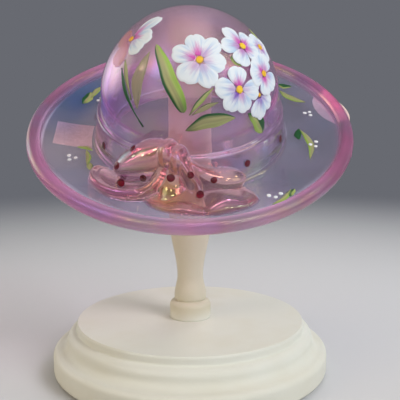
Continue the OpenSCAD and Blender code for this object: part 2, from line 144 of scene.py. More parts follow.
class EnamelSizes(bpy.types.PropertyGroup):
    """Sizes of the painted enamel."""

    coat: length("Coat", "Thickness of one coat of enamel", 0.35)
    bite: length("Bite", "How deep the enamel lies in the glass", 0.12)
    eye_radius: length("Eye radius", "Radius of a flower's yellow eye", 2)
    eye_height: length("Eye height", "Height of a flower's eye", 0.75)
    white_dot_radius: length("White dot radius", "Radius of a white dot on the brim", 1.2)
    ribbon_dot_radius: length("Ribbon dot radius", "Radius of a dark dot on the ribbon", 2)
    dot_height: length("Dot height", "Height of a dot", 0.38)


class Finishes(bpy.types.PropertyGroup):
    """Colours of the glass, the enamel, the paint and the stage."""

    crown_mauve: colour("Crown tint", "Tint of the crown", 252, 222, 242)
    # Painted sheen: a violet reflection painted into the tint of the crown's sides
    crown_violet_sheen: colour("Crown side", "Violet lustre on the crown's side", 220, 172, 255)
    brim_sky: colour("Brim tint", "Cool tint of the brim", 218, 218, 240)
    brim_clear: colour("Brim pale", "Pale tint of the brim's left", 252, 244, 248)
    # Painted sheen: a blue reflection painted into the tint of the brim's back left
    brim_teal_sheen: colour("Brim lustre", "Blue lustre on the brim", 116, 176, 240)
    lip_pink: colour("Lip tint", "Tint of the rolled lip", 255, 160, 214)
    # Painted sheen: lilac light painted into the tint of the lip's front and left
    lip_lilac_sheen: colour("Lip lustre", "Lilac lustre on the lip's front and left", 255, 208, 244)
    bow_salmon: colour("Bow tint", "Tint of the bow", 250, 186, 180)
    # Painted sheen: an amber reflection painted into the tint of the bow
    bow_amber_sheen: colour("Bow lustre", "Amber lustre on the bow", 255, 190, 116)
    glass_veil: colour("Glass veil", "Cool veils in the lustre", 206, 214, 248)
    glass_depth: colour("Glass depth", "What thick glass lets through", 224, 164, 206)
    glass_shade: colour("Glass shade", "Light that passes the glass onto other things", 254, 250, 252)
    petal_white: colour("Petal white", "Main colour of the petals", 236, 244, 251)
    petal_wash: colour("Petal wash", "Petals that are only washed with colour", 238, 170, 160)
    petal_blue: colour("Petal blue", "Pale shade in the petals", 190, 214, 240)
    petal_pink: colour("Petal pink", "Heart of the petals", 214, 84, 178)
    petal_violet: colour("Petal violet", "Violet strokes in the heart", 128, 84, 186)
    eye_yellow: colour("Eye yellow", "Eyes of the flowers", 255, 216, 56)
    eye_amber: colour("Eye amber", "Shaded side of the eyes", 240, 178, 44)
    leaf_olive: colour("Leaf olive", "Thin middle of a leaf", 176, 176, 124)
    leaf_light: colour("Leaf light", "Light edge of a leaf", 158, 196, 84)
    leaf_dark: colour("Leaf dark", "Dark stroke of a leaf", 34, 92, 48)
    dot_white: colour("Dot white", "Dots on the brim", 250, 251, 253)
    dot_maroon: colour("Dot maroon", "Dots on the ribbon", 104, 20, 36)
    cream: colour("Cream", "Paint of the stand", 226, 228, 219)
    # Painted shade low on the moulding and up the stem, also used for random warm patches and specks
    cream_shade_and_patches: colour("Cream warm", "Paint in the hollows of the stand", 202, 192, 160)
    paper: colour("Paper", "Labels under the brim", 246, 222, 212)
    felt_green: colour("Base felt", "Felt under the base", 70, 84, 66)
    felt_pale: colour("Pad felt", "Felt disc on the spindle", 214, 206, 186)
    zinc: colour("Zinc", "Plating of the screw", 190, 192, 194)
    key_white: colour("Key colour", "Colour of the main light", 255, 255, 255)
    fill_warm: colour("Fill colour", "Colour of the fill light", 255, 222, 166)
    floor: colour("Floor", "Floor under the stand", 208, 209, 212)
    backdrop: colour("Backdrop", "Background that the floor fades into", 104, 106, 113)
    room_front: colour("Room front", "What gloss and glass see in front of the hat", 214, 214, 222)


class StageSizes(bpy.types.PropertyGroup):
    """Camera and light."""

    focal_length: number("Focal length", "Lens of the camera, in millimetres", 59.4)
    camera_place: FloatVectorProperty(
        name="Camera place", description="Where the camera stands", default=(0.00611, -0.403, 0.1611),
        subtype="TRANSLATION", unit="LENGTH",
    )
    camera_pitch: angle("Camera pitch", "Turn of the camera up from looking straight down", 82.05)
    key_power: power("Key light", "Power of the main soft light", 11)
    fill_power: power("Fill light", "Power of the fill light", 3.5)
    back_power: power("Back light", "Power of the light behind", 4)
    room_light: number("Room light", "Strength of the light from all round", 0.36)


GROUPS = {
    "hat_sizes": HatSizes, "stand_sizes": StandSizes, "enamel_sizes": EnamelSizes,
    "finishes": Finishes, "stage_sizes": StageSizes,
}


# Where things are on the hat


class HatShape:
    """Places on the hat in its own upright frame: radius from its axis and height over the dome's centre."""

    def __init__(self, hat):
        self.hat = hat
        self.inner_r = hat.crown_radius - hat.crown_wall
        self.band_top_z = -hat.band_drop
        self.band_top_r = hat.crown_radius + hat.band_proud
        self.foot_z = self.band_top_z - hat.band_height
        self.foot_r = self.band_top_r + hat.band_flare
        self.lip_r = hat.brim_radius - hat.lip_radius
        self.lip_z = self.foot_z + hat.brim_rise - hat.lip_drop
        self.lip_in_angle = 180 - math.degrees(math.asin(hat.lip_drop / hat.lip_radius))
        self.lip_in_r = self.lip_r + hat.lip_radius * math.cos(math.radians(self.lip_in_angle))
        pad_low, pad_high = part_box("rest_pad")
        pad_r = (pad_high.x - pad_low.x) / 2
        dome_z = pad_high.z - math.sqrt((self.inner_r - hat.rest_gap) ** 2 - pad_r ** 2)
        self.place = Matrix.Translation((0, 0, dome_z)) @ Matrix.Rotation(hat.tilt, 4, "X")

    def brim_z(self, radius):
        """Height of the brim's upper face."""
        run = np.maximum(0, (np.asarray(radius, float) - self.foot_r) / (self.lip_in_r - self.foot_r))
        return self.foot_z + self.hat.brim_rise * run ** self.hat.brim_curve


def around(azimuth, radius, height):
    """Points at azimuths in degrees from the front, towards the right."""
    turn = np.radians(azimuth)
    return np.stack(np.broadcast_arrays(radius * np.sin(turn), -radius * np.cos(turn), height), -1)


def polar(places):
    """Radius and azimuth of points, as around takes them."""
    return np.hypot(places[:, 0], places[:, 1]), np.degrees(np.arctan2(places[:, 0], -places[:, 1]))


def ease(value, start, stop):
    """A smooth step from 0 at start to 1 at stop."""
    share = np.clip((value - start) / (stop - start), 0, 1)
    return share * share * (3 - 2 * share)


def arc(centre, radius, start, stop, steps):
    turns = np.radians(np.linspace(start, stop, steps + 1))
    return [(centre[0] + radius * math.cos(t), centre[1] + radius * math.sin(t)) for t in turns]


def even_line(points, spacing):
    """The same line with points at an even spacing."""
    line = np.array(points, float)
    run = np.concatenate([[0], np.cumsum(np.linalg.norm(np.diff(line, axis=0), axis=1))])
    marks = np.linspace(0, run[-1], max(2, round(run[-1] / spacing) + 1))
    return np.stack([np.interp(marks, run, line[:, k]) for k in range(2)], -1)


def eased(values, passes):
    """Values averaged with their neighbours, pass after pass, the first and the last kept."""
    for _ in range(passes):
        values[1:-1] = (values[:-2] + 2 * values[1:-1] + values[2:]) / 4
    return values


def eased_line(points, spacing, passes):
    """An even line with its corners eased, its ends kept."""
    return eased(even_line(points, spacing), passes)


# Modelling by hand


def leave_edit_mode():
    if bpy.context.mode != "OBJECT":
        bpy.ops.object.mode_set(mode="OBJECT")


def pick(*pieces):
    """Selects these pieces alone, the first one active."""
    leave_edit_mode()
    bpy.ops.object.select_all(action="DESELECT")
    for piece in pieces:
        piece.select_set(True)
    bpy.context.view_layer.objects.active = pieces[0] if pieces else None


def named(name):
    piece = bpy.context.object
    piece.name = name
    piece.data.name = name
    return piece


def draw_line(name, points, azimuth):
    """Starts a piece as one point and extrudes it along (radius, height) points at an azimuth."""
    pick()
    places = [Vector(around(azimuth, r, z)) for r, z in points]
    bpy.ops.mesh.primitive_plane_add(size=MM)
    piece = named(name)
    bpy.ops.object.mode_set(mode="EDIT")
    bpy.ops.mesh.select_all(action="SELECT")
    bpy.ops.mesh.merge(type="CENTER")
    bpy.ops.mesh.select_all(action="SELECT")
    bpy.ops.transform.translate(value=places[0])
    for here, there in zip(places, places[1:]):
        bpy.ops.mesh.extrude_vertices_move(TRANSFORM_OT_translate={"value": there - here})
    return piece


# Points of a spun piece that are nearer than this are one point
WELD = 0.004 * MM


def turned(name, points, azimuth, *turns):
    """Draws a line, spins it about Z towards lower azimuths, by each (degrees, steps), and closes it."""
    piece = draw_line(name, points, azimuth)
    bpy.ops.mesh.select_all(action="SELECT")
    for degrees, steps in turns:
        bpy.ops.mesh.spin(
            steps=steps, dupli=False, angle=math.radians(degrees), use_auto_merge=False,
            center=(0, 0, 0), axis=(0, 0, 1),
        )
    bpy.ops.mesh.select_all(action="SELECT")
    bpy.ops.mesh.remove_doubles(threshold=WELD)
    bpy.ops.mesh.normals_make_consistent(inside=False)
    bpy.ops.object.mode_set(mode="OBJECT")
    return piece


# Edges flatter than these angles are shaded smooth
GLASS_SMOOTH, TURNED_SMOOTH, SOFT_SMOOTH = 60, 35, 50


def smooth(piece, degrees):
    pick(piece)
    bpy.ops.object.shade_smooth_by_angle(angle=math.radians(degrees))


def apply_modifier(piece, kind, **settings):
    pick(piece)
    modifier = piece.modifiers.new(kind.title(), kind)
    for key, value in settings.items():
        setattr(modifier, key, value)
    bpy.ops.object.modifier_apply(modifier=modifier.name)


def corners(piece):
    """The piece's vertices as an array."""
    places = np.zeros(len(piece.data.vertices) * 3, np.float32)
    piece.data.vertices.foreach_get("co", places)
    return places.reshape(-1, 3).astype(float)


def move_corners(piece, places):
    piece.data.vertices.foreach_set("co", np.asarray(places, np.float32).ravel())
    piece.data.update()


def apply_place(piece, place):
    """Puts a piece at a place and applies it, so that its object stays at the origin."""
    pick(piece)
    piece.matrix_world = place
    bpy.ops.object.transform_apply(location=True, rotation=True, scale=True)


def joined(name, pieces):
    pick(*pieces)
    if len(pieces) > 1:
        bpy.ops.object.join()
    return named(name)


def copy_of(piece):
    twin = piece.copy()
    twin.data = piece.data.copy()
    bpy.context.scene.collection.objects.link(twin)
    return twin


def finished(piece, body, material, node):
    """Gives a finished piece its material, hangs it on the body that carries it, and hides the node that it
    stands for.
    """
    piece.data.materials.clear()
    piece.data.materials.append(material)
    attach(piece, body)
    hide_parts(node)


# Node recipes


def add(tree, kind, inputs=None, **settings):
    """Adds a node and feeds its sockets with values or with other nodes' sockets."""
    node = tree.nodes.new(kind)
    for key, value in settings.items():
        setattr(node, key, value)
    for name, value in (inputs or {}).items():
        socket = node.inputs[name]
        if isinstance(value, bpy.types.NodeSocket):
            tree.links.new(value, socket)
        else:
            socket.default_value = (*value, 1.0) if socket.type == "RGBA" else value
    return node


def calc(tree, operation, *values, clamp=False):
    node = add(tree, "ShaderNodeMath", dict(enumerate(values)), operation=operation, use_clamp=clamp)
    return node.outputs[0]


def plus(tree, first, second, clamp=False):
    return calc(tree, "ADD", first, second, clamp=clamp)


def minus(tree, first, second):
    return calc(tree, "SUBTRACT", first, second)


def times(tree, first, second, clamp=False):
    return calc(tree, "MULTIPLY", first, second, clamp=clamp)


def blend(tree, factor, first, second, how="MIX"):
    """A mix of two colours."""
    FACTOR, FIRST, SECOND, RESULT = 0, 6, 7, 2
    colours = {FACTOR: factor, FIRST: first, SECOND: second}
    return add(tree, "ShaderNodeMix", colours, data_type="RGBA", blend_type=how).outputs[RESULT]


def toned(tree, base, tone):
    """A colour made darker or lighter by a tone."""
    return blend(tree, 1.0, base, tone, "MULTIPLY")


def fade(tree, value, start, stop, low=0.0, high=1.0):
    """A value turned smoothly into another range."""
    node = add(
        tree, "ShaderNodeMapRange",
        {"Value": value, "From Min": start, "From Max": stop, "To Min": low, "To Max": high},
        interpolation_type="SMOOTHSTEP",
    )
    return node.outputs["Result"]


def noise(tree, vector, scale, detail=2.0, roughness=0.5):
    node = add(
        tree, "ShaderNodeTexNoise",
        {"Vector": vector, "Scale": scale, "Detail": detail, "Roughness": roughness},
    )
    return node.outputs["Fac"]


def stretched(tree, vector, scale):
    return add(tree, "ShaderNodeMapping", {"Vector": vector, "Scale": scale}).outputs["Vector"]


def object_places(tree):
    return add(tree, "ShaderNodeTexCoord").outputs["Object"]


def new_group(name, inputs, outputs):
    """A shader node group with (name, socket kind, default) inputs and (name, socket kind) outputs."""
    tree = bpy.data.node_groups.new(name, "ShaderNodeTree")
    for label, kind, default in inputs:
        socket = tree.interface.new_socket(label, in_out="INPUT", socket_type=kind)
        if default is not None:
            socket.default_value = default
    for label, kind in outputs:
        tree.interface.new_socket(label, in_out="OUTPUT", socket_type=kind)
    return tree, tree.nodes.new("NodeGroupInput").outputs, tree.nodes.new("NodeGroupOutput")


def use_group(tree, group, inputs):
    return add(tree, "ShaderNodeGroup", inputs, node_tree=group).outputs


def new_material(name):
    material = bpy.data.materials.new(name)
    material.use_nodes = True
    material.node_tree.nodes.clear()
    return material, material.node_tree


def coated(tree, surface):
    add(tree, "ShaderNodeOutputMaterial", {"Surface": surface})


def coated_with(tree, inputs):
    """Ends a material in one Principled shader with these inputs."""
    coated(tree, add(tree, "ShaderNodeBsdfPrincipled", inputs).outputs[0])


def bump(tree, height, strength, distance):
    node = add(tree, "ShaderNodeBump", {"Height": height, "Strength": strength, "Distance": distance})
    return node.outputs["Normal"]


def send(tree, out, **values):
    """Feeds a group's outputs."""
    for name, value in values.items():
        tree.links.new(value, out.inputs[name])


VECTOR, VALUE = "NodeSocketVector", "NodeSocketFloat"


def brush_strokes(name):
    """Streaks that a loaded brush leaves along its stroke: fine hairs and broad bands."""
    tree, given, out = new_group(
        name, [("Stroke", VECTOR, None), ("Hairs", VALUE, 30.0), ("Seed", VALUE, 0.0)],
        [("Hairs", VALUE), ("Bands", VALUE)],
    )
    seed = add(tree, "ShaderNodeCombineXYZ", {"Z": given["Seed"]}).outputs[0]
    start = add(tree, "ShaderNodeVectorMath", {0: given["Stroke"], 1: seed}, operation="ADD").outputs[0]
    hairs = noise(tree, stretched(tree, start, (1.0, 0.09, 1.0)), given["Hairs"], 3.0, 0.6)
    bands = noise(tree, stretched(tree, start, (1.0, 0.22, 1.0)), 5.0, 1.0)
    send(tree, out, Hairs=hairs, Bands=bands)
    return tree


def paint_skin(name):
    """Sprayed and rolled paint: a slow change of tone, an orange-peel height and fine dust."""
    tree, given, out = new_group(
        name, [("Place", VECTOR, None), ("Peel", VALUE, 900.0)],
        [("Tone", VALUE), ("Height", VALUE), ("Specks", VALUE)],
    )
    place = given["Place"]
    peel, broad = noise(tree, place, given["Peel"], 2.0, 0.45), noise(tree, place, 160.0)
    specks = fade(tree, noise(tree, place, 1400.0, 1.0), 0.68, 0.74)
    height = plus(tree, peel, times(tree, broad, 0.8))
    send(tree, out, Tone=noise(tree, place, 26.0, 3.0), Height=height, Specks=specks)
    return tree


def loose_fibres(name):
    """Short fibres lying every way, for felt and paper."""
    tree, given, out = new_group(
        name, [("Place", VECTOR, None), ("Fineness", VALUE, 900.0)], [("Fibre", VALUE), ("Patch", VALUE)]
    )
    place, fineness = given["Place"], given["Fineness"]
    one = noise(tree, stretched(tree, place, (1.0, 0.16, 0.6)), fineness, 2.0, 0.6)
    two = noise(tree, stretched(tree, place, (0.18, 1.0, 0.6)), fineness, 2.0, 0.6)
    send(tree, out, Fibre=calc(tree, "MAXIMUM", one, two), Patch=noise(tree, place, 60.0))
    return tree


def get_group(name, make):
    """A node group by name, made the first time it is asked for."""
    return bpy.data.node_groups.get(name) or make(name)


# Materials

GLASS_IOR, GLASS_CLEARNESS, GLASS_DENSITY = 1.5, 0.9, 22.0
# The lustre is a thin film, with its thickness in nanometres
FILM_IOR, FILM_THIN, FILM_THICK = 1.75, 240.0, 330.0
POLISHED, SATIN = 0.03, 0.3


def pink_glass(name, finishes):
    """Pressed glass, slightly milky, with its tints and painted sheen from place to place and a thin metallic
    lustre.
    """
    material, tree = new_material(name)
    place = object_places(tree)
    # The tint attribute holds the glass's tints with their painted sheen, and in its alpha how satin the
    # glass is
    zone = add(tree, "ShaderNodeAttribute", attribute_name="tint").outputs
    cloud = noise(tree, place, 22.0)
    veil = noise(tree, stretched(tree, place, (1.0, 1.0, 2.2)), 26.0)
    tint = toned(tree, zone["Color"], fade(tree, cloud, 0.35, 0.65, 0.84, 1.06))
    tint = blend(tree, fade(tree, veil, 0.5, 0.7, 0.0, 0.3), tint, finishes.glass_veil)
    lustre = fade(tree, noise(tree, place, 32.0, 1.0), 0.3, 0.7, FILM_THIN, FILM_THICK)
    brushed = noise(tree, stretched(tree, place, (1.0, 0.3, 1.0)), 420.0)
    height = plus(tree, noise(tree, place, 60.0), times(tree, brushed, 0.06))
    glass = add(
        tree, "ShaderNodeBsdfPrincipled",
        {
            "Base Color": tint, "Roughness": fade(tree, zone["Alpha"], 0.0, 1.0, POLISHED, SATIN),
            "IOR": GLASS_IOR, "Transmission Weight": GLASS_CLEARNESS, "Thin Film Thickness": lustre,
            "Thin Film IOR": FILM_IOR, "Normal": bump(tree, height, 0.12, 0.6 * MM),
        },
    )
    passing = add(tree, "ShaderNodeBsdfTransparent", {"Color": finishes.glass_shade})
    kind_of_ray = add(tree, "ShaderNodeLightPath").outputs["Is Shadow Ray"]
    surface = add(tree, "ShaderNodeMixShader", {0: kind_of_ray, 1: glass.outputs[0], 2: passing.outputs[0]})
    depth = add(
        tree, "ShaderNodeVolumeAbsorption", {"Color": finishes.glass_depth, "Density": GLASS_DENSITY}
    )
    add(tree, "ShaderNodeOutputMaterial", {"Surface": surface.outputs[0], "Volume": depth.outputs[0]})
    return material


def stroke_and_dab(tree, hairs):
    """A dab's brush streaks, the place across and along its stroke, its own values and its body."""
    stroke = add(tree, "ShaderNodeUVMap", uv_map="stroke").outputs["UV"]
    dab = add(tree, "ShaderNodeAttribute", attribute_name="dab").outputs
    across_along = add(tree, "ShaderNodeSeparateXYZ", {0: stroke}).outputs
    values = add(tree, "ShaderNodeSeparateXYZ", {0: dab["Color"]}).outputs
    strokes = get_group("Brush strokes", brush_strokes)
    brushed = use_group(tree, strokes, {"Stroke": stroke, "Hairs": hairs, "Seed": values[2]})
    return brushed, across_along, values, dab["Alpha"]


def petal_enamel(name, finishes):
    """White enamel shaded with pale blue, with pink and violet strokes from the heart."""
    material, tree = new_material(name)
    brushed, (across, along, _), (heart, violet, _), body = stroke_and_dab(tree, 26.0)
    hairs = brushed["Hairs"]
    shade = fade(tree, plus(tree, brushed["Bands"], times(tree, hairs, 0.35)), 0.55, 0.9)
    inner = fade(tree, along, 1.0, 0.45)
    white = blend(tree, times(tree, shade, inner), finishes.petal_white, finishes.petal_blue)
    white = blend(tree, body, finishes.petal_wash, white)
    side = calc(tree, "ABSOLUTE", minus(tree, across, 0.5))
    reach = plus(tree, along, times(tree, minus(tree, hairs, 0.5), -0.75))
    reach = plus(tree, reach, times(tree, side, 0.6))
    flush = times(tree, fade(tree, reach, 0.74, 0.26), heart, clamp=True)
    base = blend(tree, flush, white, blend(tree, violet, finishes.petal_pink, finishes.petal_violet))
    coated_with(tree, {
        "Base Color": base, "Roughness": 0.38, "Alpha": fade(tree, body, 0.0, 1.0, 0.32, 1.0),
        "Normal": bump(tree, hairs, 0.25, 0.12 * MM),
    })
    return material


def leaf_enamel(name, finishes):
    """Green enamel laid in one stroke of a brush that carries a dark and a light side."""
    material, tree = new_material(name)
    brushed, (across, along, _), (dark, light, _), body = stroke_and_dab(tree, 18.0)
    ragged = plus(tree, across, times(tree, minus(tree, brushed["Hairs"], 0.5), 0.22))
    spread = calc(tree, "MAXIMUM", minus(tree, dark, 1.0), 0.0)
    dark_edge = times(tree, fade(tree, minus(tree, ragged, spread), 0.3, 0.12), dark, clamp=True)
    light_edge = times(tree, fade(tree, ragged, 0.5, 0.85), light, clamp=True)
    foot = times(tree, fade(tree, along, 0.3, 0.0), times(tree, dark, 0.6), clamp=True)
    base = blend(tree, light_edge, finishes.leaf_olive, finishes.leaf_light)
    base = blend(tree, calc(tree, "MAXIMUM", dark_edge, foot), base, finishes.leaf_dark)
    coated_with(tree, {
        "Base Color": toned(tree, base, fade(tree, brushed["Bands"], 0.3, 0.7, 0.82, 1.08)),
        "Roughness": 0.36, "Alpha": body, "Normal": bump(tree, brushed["Hairs"], 0.3, 0.1 * MM),
    })
    return material


def drop_enamel(name, main, second, roughness):
    """A small drop of enamel, its tone changing from drop to drop."""
    material, tree = new_material(name)
    place = object_places(tree)
    tone = fade(tree, noise(tree, place, 180.0), 0.35, 0.68)
    coated_with(tree, {
        "Base Color": blend(tree, tone, main, second), "Roughness": roughness,
        "Normal": bump(tree, noise(tree, place, 1500.0), 0.2, 0.1 * MM),
    })
    return material


# How far over the moulding the stem reaches its full painted shade
STEM_SHADE_RISE = 10 * MM


def cream_paint(name, finishes, foot, top):
    """Satin cream paint over turned wood, with painted shade low on the moulding and up the stem, and random
    warm patches.
    """
    material, tree = new_material(name)
    place = object_places(tree)
    painted = use_group(tree, get_group("Paint skin", paint_skin), {"Place": place, "Peel": 620.0})
    height = add(tree, "ShaderNodeSeparateXYZ", {0: place}).outputs["Z"]
    # Painted shade: warmer and darker towards the foot of the base and up the stem, mixed below with random
    # warm patches
    low = fade(tree, height, top, foot, 0.0, 0.22)
    stem = fade(tree, height, top, top + STEM_SHADE_RISE, 0.0, 0.6)
    patchy = fade(tree, painted["Tone"], 0.45, 0.75, 0.0, 0.16)
    warm = plus(tree, calc(tree, "MAXIMUM", low, stem), patchy, clamp=True)
    base = blend(tree, warm, finishes.cream, finishes.cream_shade_and_patches)
    base = blend(tree, times(tree, painted["Specks"], 0.12), base, finishes.cream_shade_and_patches)
    coated_with(tree, {
        "Base Color": base, "Roughness": fade(tree, painted["Tone"], 0.3, 0.7, 0.42, 0.56),
        "Normal": bump(tree, painted["Height"], 0.22, 0.25 * MM),
    })
    return material


def fibrous(name, main, fineness, height, roughness):
    """Felt or paper, with fibres lighter and darker than the rest."""
    material, tree = new_material(name)
    fibres = get_group("Fibres", loose_fibres)
    laid = use_group(tree, fibres, {"Place": object_places(tree), "Fineness": fineness})
    base = toned(tree, main, fade(tree, laid["Fibre"], 0.4, 0.8, 0.78, 1.12))
    coated_with(tree, {
        "Base Color": toned(tree, base, fade(tree, laid["Patch"], 0.3, 0.7, 0.92, 1.04)),
        "Roughness": roughness, "Normal": bump(tree, laid["Fibre"], 0.5, height),
    })
    return material


def zinc_plate(name, finishes):
    """Zinc plating, slightly clouded."""
    material, tree = new_material(name)
    cloud = noise(tree, object_places(tree), 300.0, 3.0)
    coated_with(tree, {
        "Base Color": toned(tree, finishes.zinc, fade(tree, cloud, 0.3, 0.7, 0.85, 1.05)),
        "Metallic": 1.0, "Roughness": fade(tree, cloud, 0.3, 0.7, 0.28, 0.45),
    })
    return material


def get_material(name, make, *values):
    """A material by name, made the first time it is asked for."""
    return bpy.data.materials.get(name) or make(name, *values)


# Bow

# Ribbons that run along the band, each a row of stations from left to right, in millimetres and degrees:
# azimuth, out from the band, up from the brim, half width out, half height up, roll
LOOP_LEFT = [
    (-36.5, 7, 10.5, 1, 1, 0), (-35, 7, 11.5, 4.5, 3, 0), (-31.5, 6.5, 15, 8.5, 5.5, 0),
    (-27, 5.5, 18, 10, 8, 0), (-21, 4, 20.5, 10, 10, 0), (-16.5, 2.5, 22.5, 8, 9, 0),
    (-13.5, 1.5, 24.5, 5, 6.5, 0), (-11, 1, 26, 3, 4.5, 0),
]
LOOP_FLOOR = [
    (-50, 8, 1, 2, 1, 8), (-46, 12, 2, 8, 2.6, 8), (-38, 13.5, 2.4, 10, 3, 10),
    (-29, 13, 2.8, 10.5, 3.2, 10), (-21, 10, 4, 8, 4, 8), (-14, 6, 8, 5, 4, 0),
]
LOOP_EDGE = [
    (-50, 9, 4, 1.4, 1.6, 0), (-47.5, 14, 4.4, 1.9, 2.2, 0), (-43, 19, 4.6, 2.1, 2.5, 0),
    (-38, 22, 4.6, 2.2, 2.6, 0), (-32, 23, 4.6, 2.2, 2.7, 0), (-26, 21.5, 5, 2.2, 2.7, 0),
    (-20.5, 18.5, 6.4, 2.2, 2.7, 0), (-16.8, 15.6, 9, 2.2, 2.6, 0), (-14.4, 12.6, 12.6, 2.1, 2.6, 0),
    (-12.8, 9.8, 17, 2, 2.6, 0), (-12, 7, 21, 1.9, 2.4, 0),
]
LOOP_RIGHT = [
    (-3, 2, 20, 2, 3, 0), (1, 2.6, 17.5, 2.4, 3.2, 0), (6, 3.4, 14, 3.4, 3.6, 0),
    (11, 4.8, 11.5, 5.2, 4.4, 0), (17, 6, 10.2, 6.8, 5, 0), (22.5, 6.4, 9.2, 6.2, 4.6, 0),
    (26, 6.4, 8.4, 3.8, 3, 0), (27.6, 6.4, 8, 1, 1, 0),
]
TAIL = [
    (-20, 10, 0.6, 4, 1, 8), (-14, 13, 1.6, 9, 2.4, 8), (-8, 15, 2, 11, 2.6, 10), (-2, 16, 3, 12, 3.6, 12),
    (6, 17, 1.8, 12.5, 2.2, 12), (14, 17.5, 3.2, 12.8, 4, 12), (21, 16.5, 2.2, 12.4, 2.6, 12),
    (25, 15.5, 2.2, 11, 2.4, 12), (27.6, 15, 1, 8.5, 1, 12),
]
RIBBONS_ALONG = [LOOP_LEFT, LOOP_FLOOR, LOOP_EDGE, LOOP_RIGHT, TAIL]

# Ribbons that run down the front, each a row of stations from the top:
# azimuth, out from the band, up from the brim, half width across, half depth
KNOT_LEFT = [
    (-11, 1, 29.5, 2.2, 2), (-10.9, 4.5, 30, 3, 2.9), (-10.8, 7, 27.2, 3.2, 3.3), (-10.7, 7.2, 23.5, 3, 3),
    (-10.7, 5, 21, 2.2, 2.2),
]
KNOT_RIGHT = [
    (-5.6, 1, 26.8, 2.2, 2), (-5.5, 4.6, 27.5, 3, 2.9), (-5.4, 7.8, 25.2, 3.2, 3.3), (-5.4, 8.2, 21.6, 3, 3),
    (-5.4, 6, 19, 2.2, 2.2),
]
STRAND_RIGHT = [
    (-4.2, 6, 26.5, 1.9, 1.9), (-2.6, 9, 23.2, 2, 2), (-0.6, 10.6, 19.4, 2, 2), (1.4, 11.2, 15.8, 1.9, 1.9),
    (3.2, 11, 12.6, 1.4, 1.4),
]
STRAND_MID = [
    (-8, 3, 20, 4.2, 2.6), (-8, 6, 14.5, 5.2, 2.8), (-8, 9.5, 9.8, 5.8, 2.6), (-8, 13.5, 6, 5.8, 2.2),
    (-8, 17, 4, 4.8, 1.6),
]
RIBBONS_DOWN = [KNOT_LEFT, KNOT_RIGHT, STRAND_RIGHT, STRAND_MID]
BOW_START, BOW_STOP, BOW_STEP = -55.0, 34.0, 0.5
BEADS_PER_STATION = 14
# The least half size of a bead in millimetres, and how much wider than a bead its rays are looked for
BEAD_LEAST, BEAD_REACH = 0.1, 1.3
# Where the bow is pressed from, seen in the upright plane: the mould opens this way
MOULD_RADIUS, MOULD_HEIGHT = 128 * MM, 48 * MM
# Each cell of the bow is pressed as the mean of this many rays each way
RAYS_PER_CELL = 3
# Rise of the bow's steepest sides over their run, and how many cells they may reach
BOW_DRAFT, DRAFT_CELLS = 4.0, 16
# Passes that soften the pressed bow
BOW_POLISH = 2
# Passes that smooth the bed behind the hat's line, and how deep the bed lies
BED_PASSES, BED_DEPTH = 400, 1.5 * MM
# Size of the hollow where the bow meets the band and the brim
FILLET = 0.7 * MM
# Latitude where the part of the line with the bow starts, and the spacing of that part's points
ZONE_LATITUDE, ZONE_SPACING = 18, 0.5 * MM


def through(stations, mark):
    """The place on a smooth curve through the stations, at a mark counted in stations."""
    rows = np.array(stations, float)
    i = min(int(mark), len(rows) - 2)
    t = mark - i
    a, b, c, d = (rows[min(max(k, 0), len(rows) - 1)] for k in (i - 1, i, i + 1, i + 2))
    bend, twist = 2 * a - 5 * b + 4 * c - d, 3 * b - a - 3 * c + d
    return 0.5 * (2 * b + (c - a) * t + bend * t ** 2 + twist * t ** 3)


def ribbon_beads(shape):
    """The bow's ribbons as rows of beads: centre, azimuth, half sizes round, out and up, and roll."""
    beads = []
    for stations in (*RIBBONS_ALONG, *RIBBONS_DOWN):
        down = stations in RIBBONS_DOWN
        marks = np.linspace(0, len(stations) - 1, (len(stations) - 1) * BEADS_PER_STATION + 1)
        for station in (through(stations, mark) for mark in marks):
            azimuth, out, up = station[0], station[1] * MM, station[2] * MM
            radius = shape.foot_r + out
            centre = around(azimuth, radius, float(shape.brim_z(radius)) + up)
            first, second = np.maximum(station[3:5], BEAD_LEAST) * MM
            if down:
                halves, roll = (first, second, second), 0
            else:
                halves, roll = (min(first, second), first, second), station[5]
            beads.append((centre, azimuth, np.array(halves), roll))
    return beads


def softened(grid, passes):
    """Fire-polished edges: each value is averaged with its neighbours, pass after pass."""
    for _ in range(passes):
        for axis in (0, 1):
            padded = np.concatenate([grid.take([0], axis), grid, grid.take([-1], axis)], axis)
            n = padded.shape[axis]
            before, after = padded.take(range(0, n - 2), axis), padded.take(range(2, n), axis)
            grid = (before + 2 * grid + after) / 4
    return grid


def ways_to(place, spots):
    """The ways from spots to a place, each of length 1."""
    return (place - spots) / np.linalg.norm(place - spots, axis=1, keepdims=True)


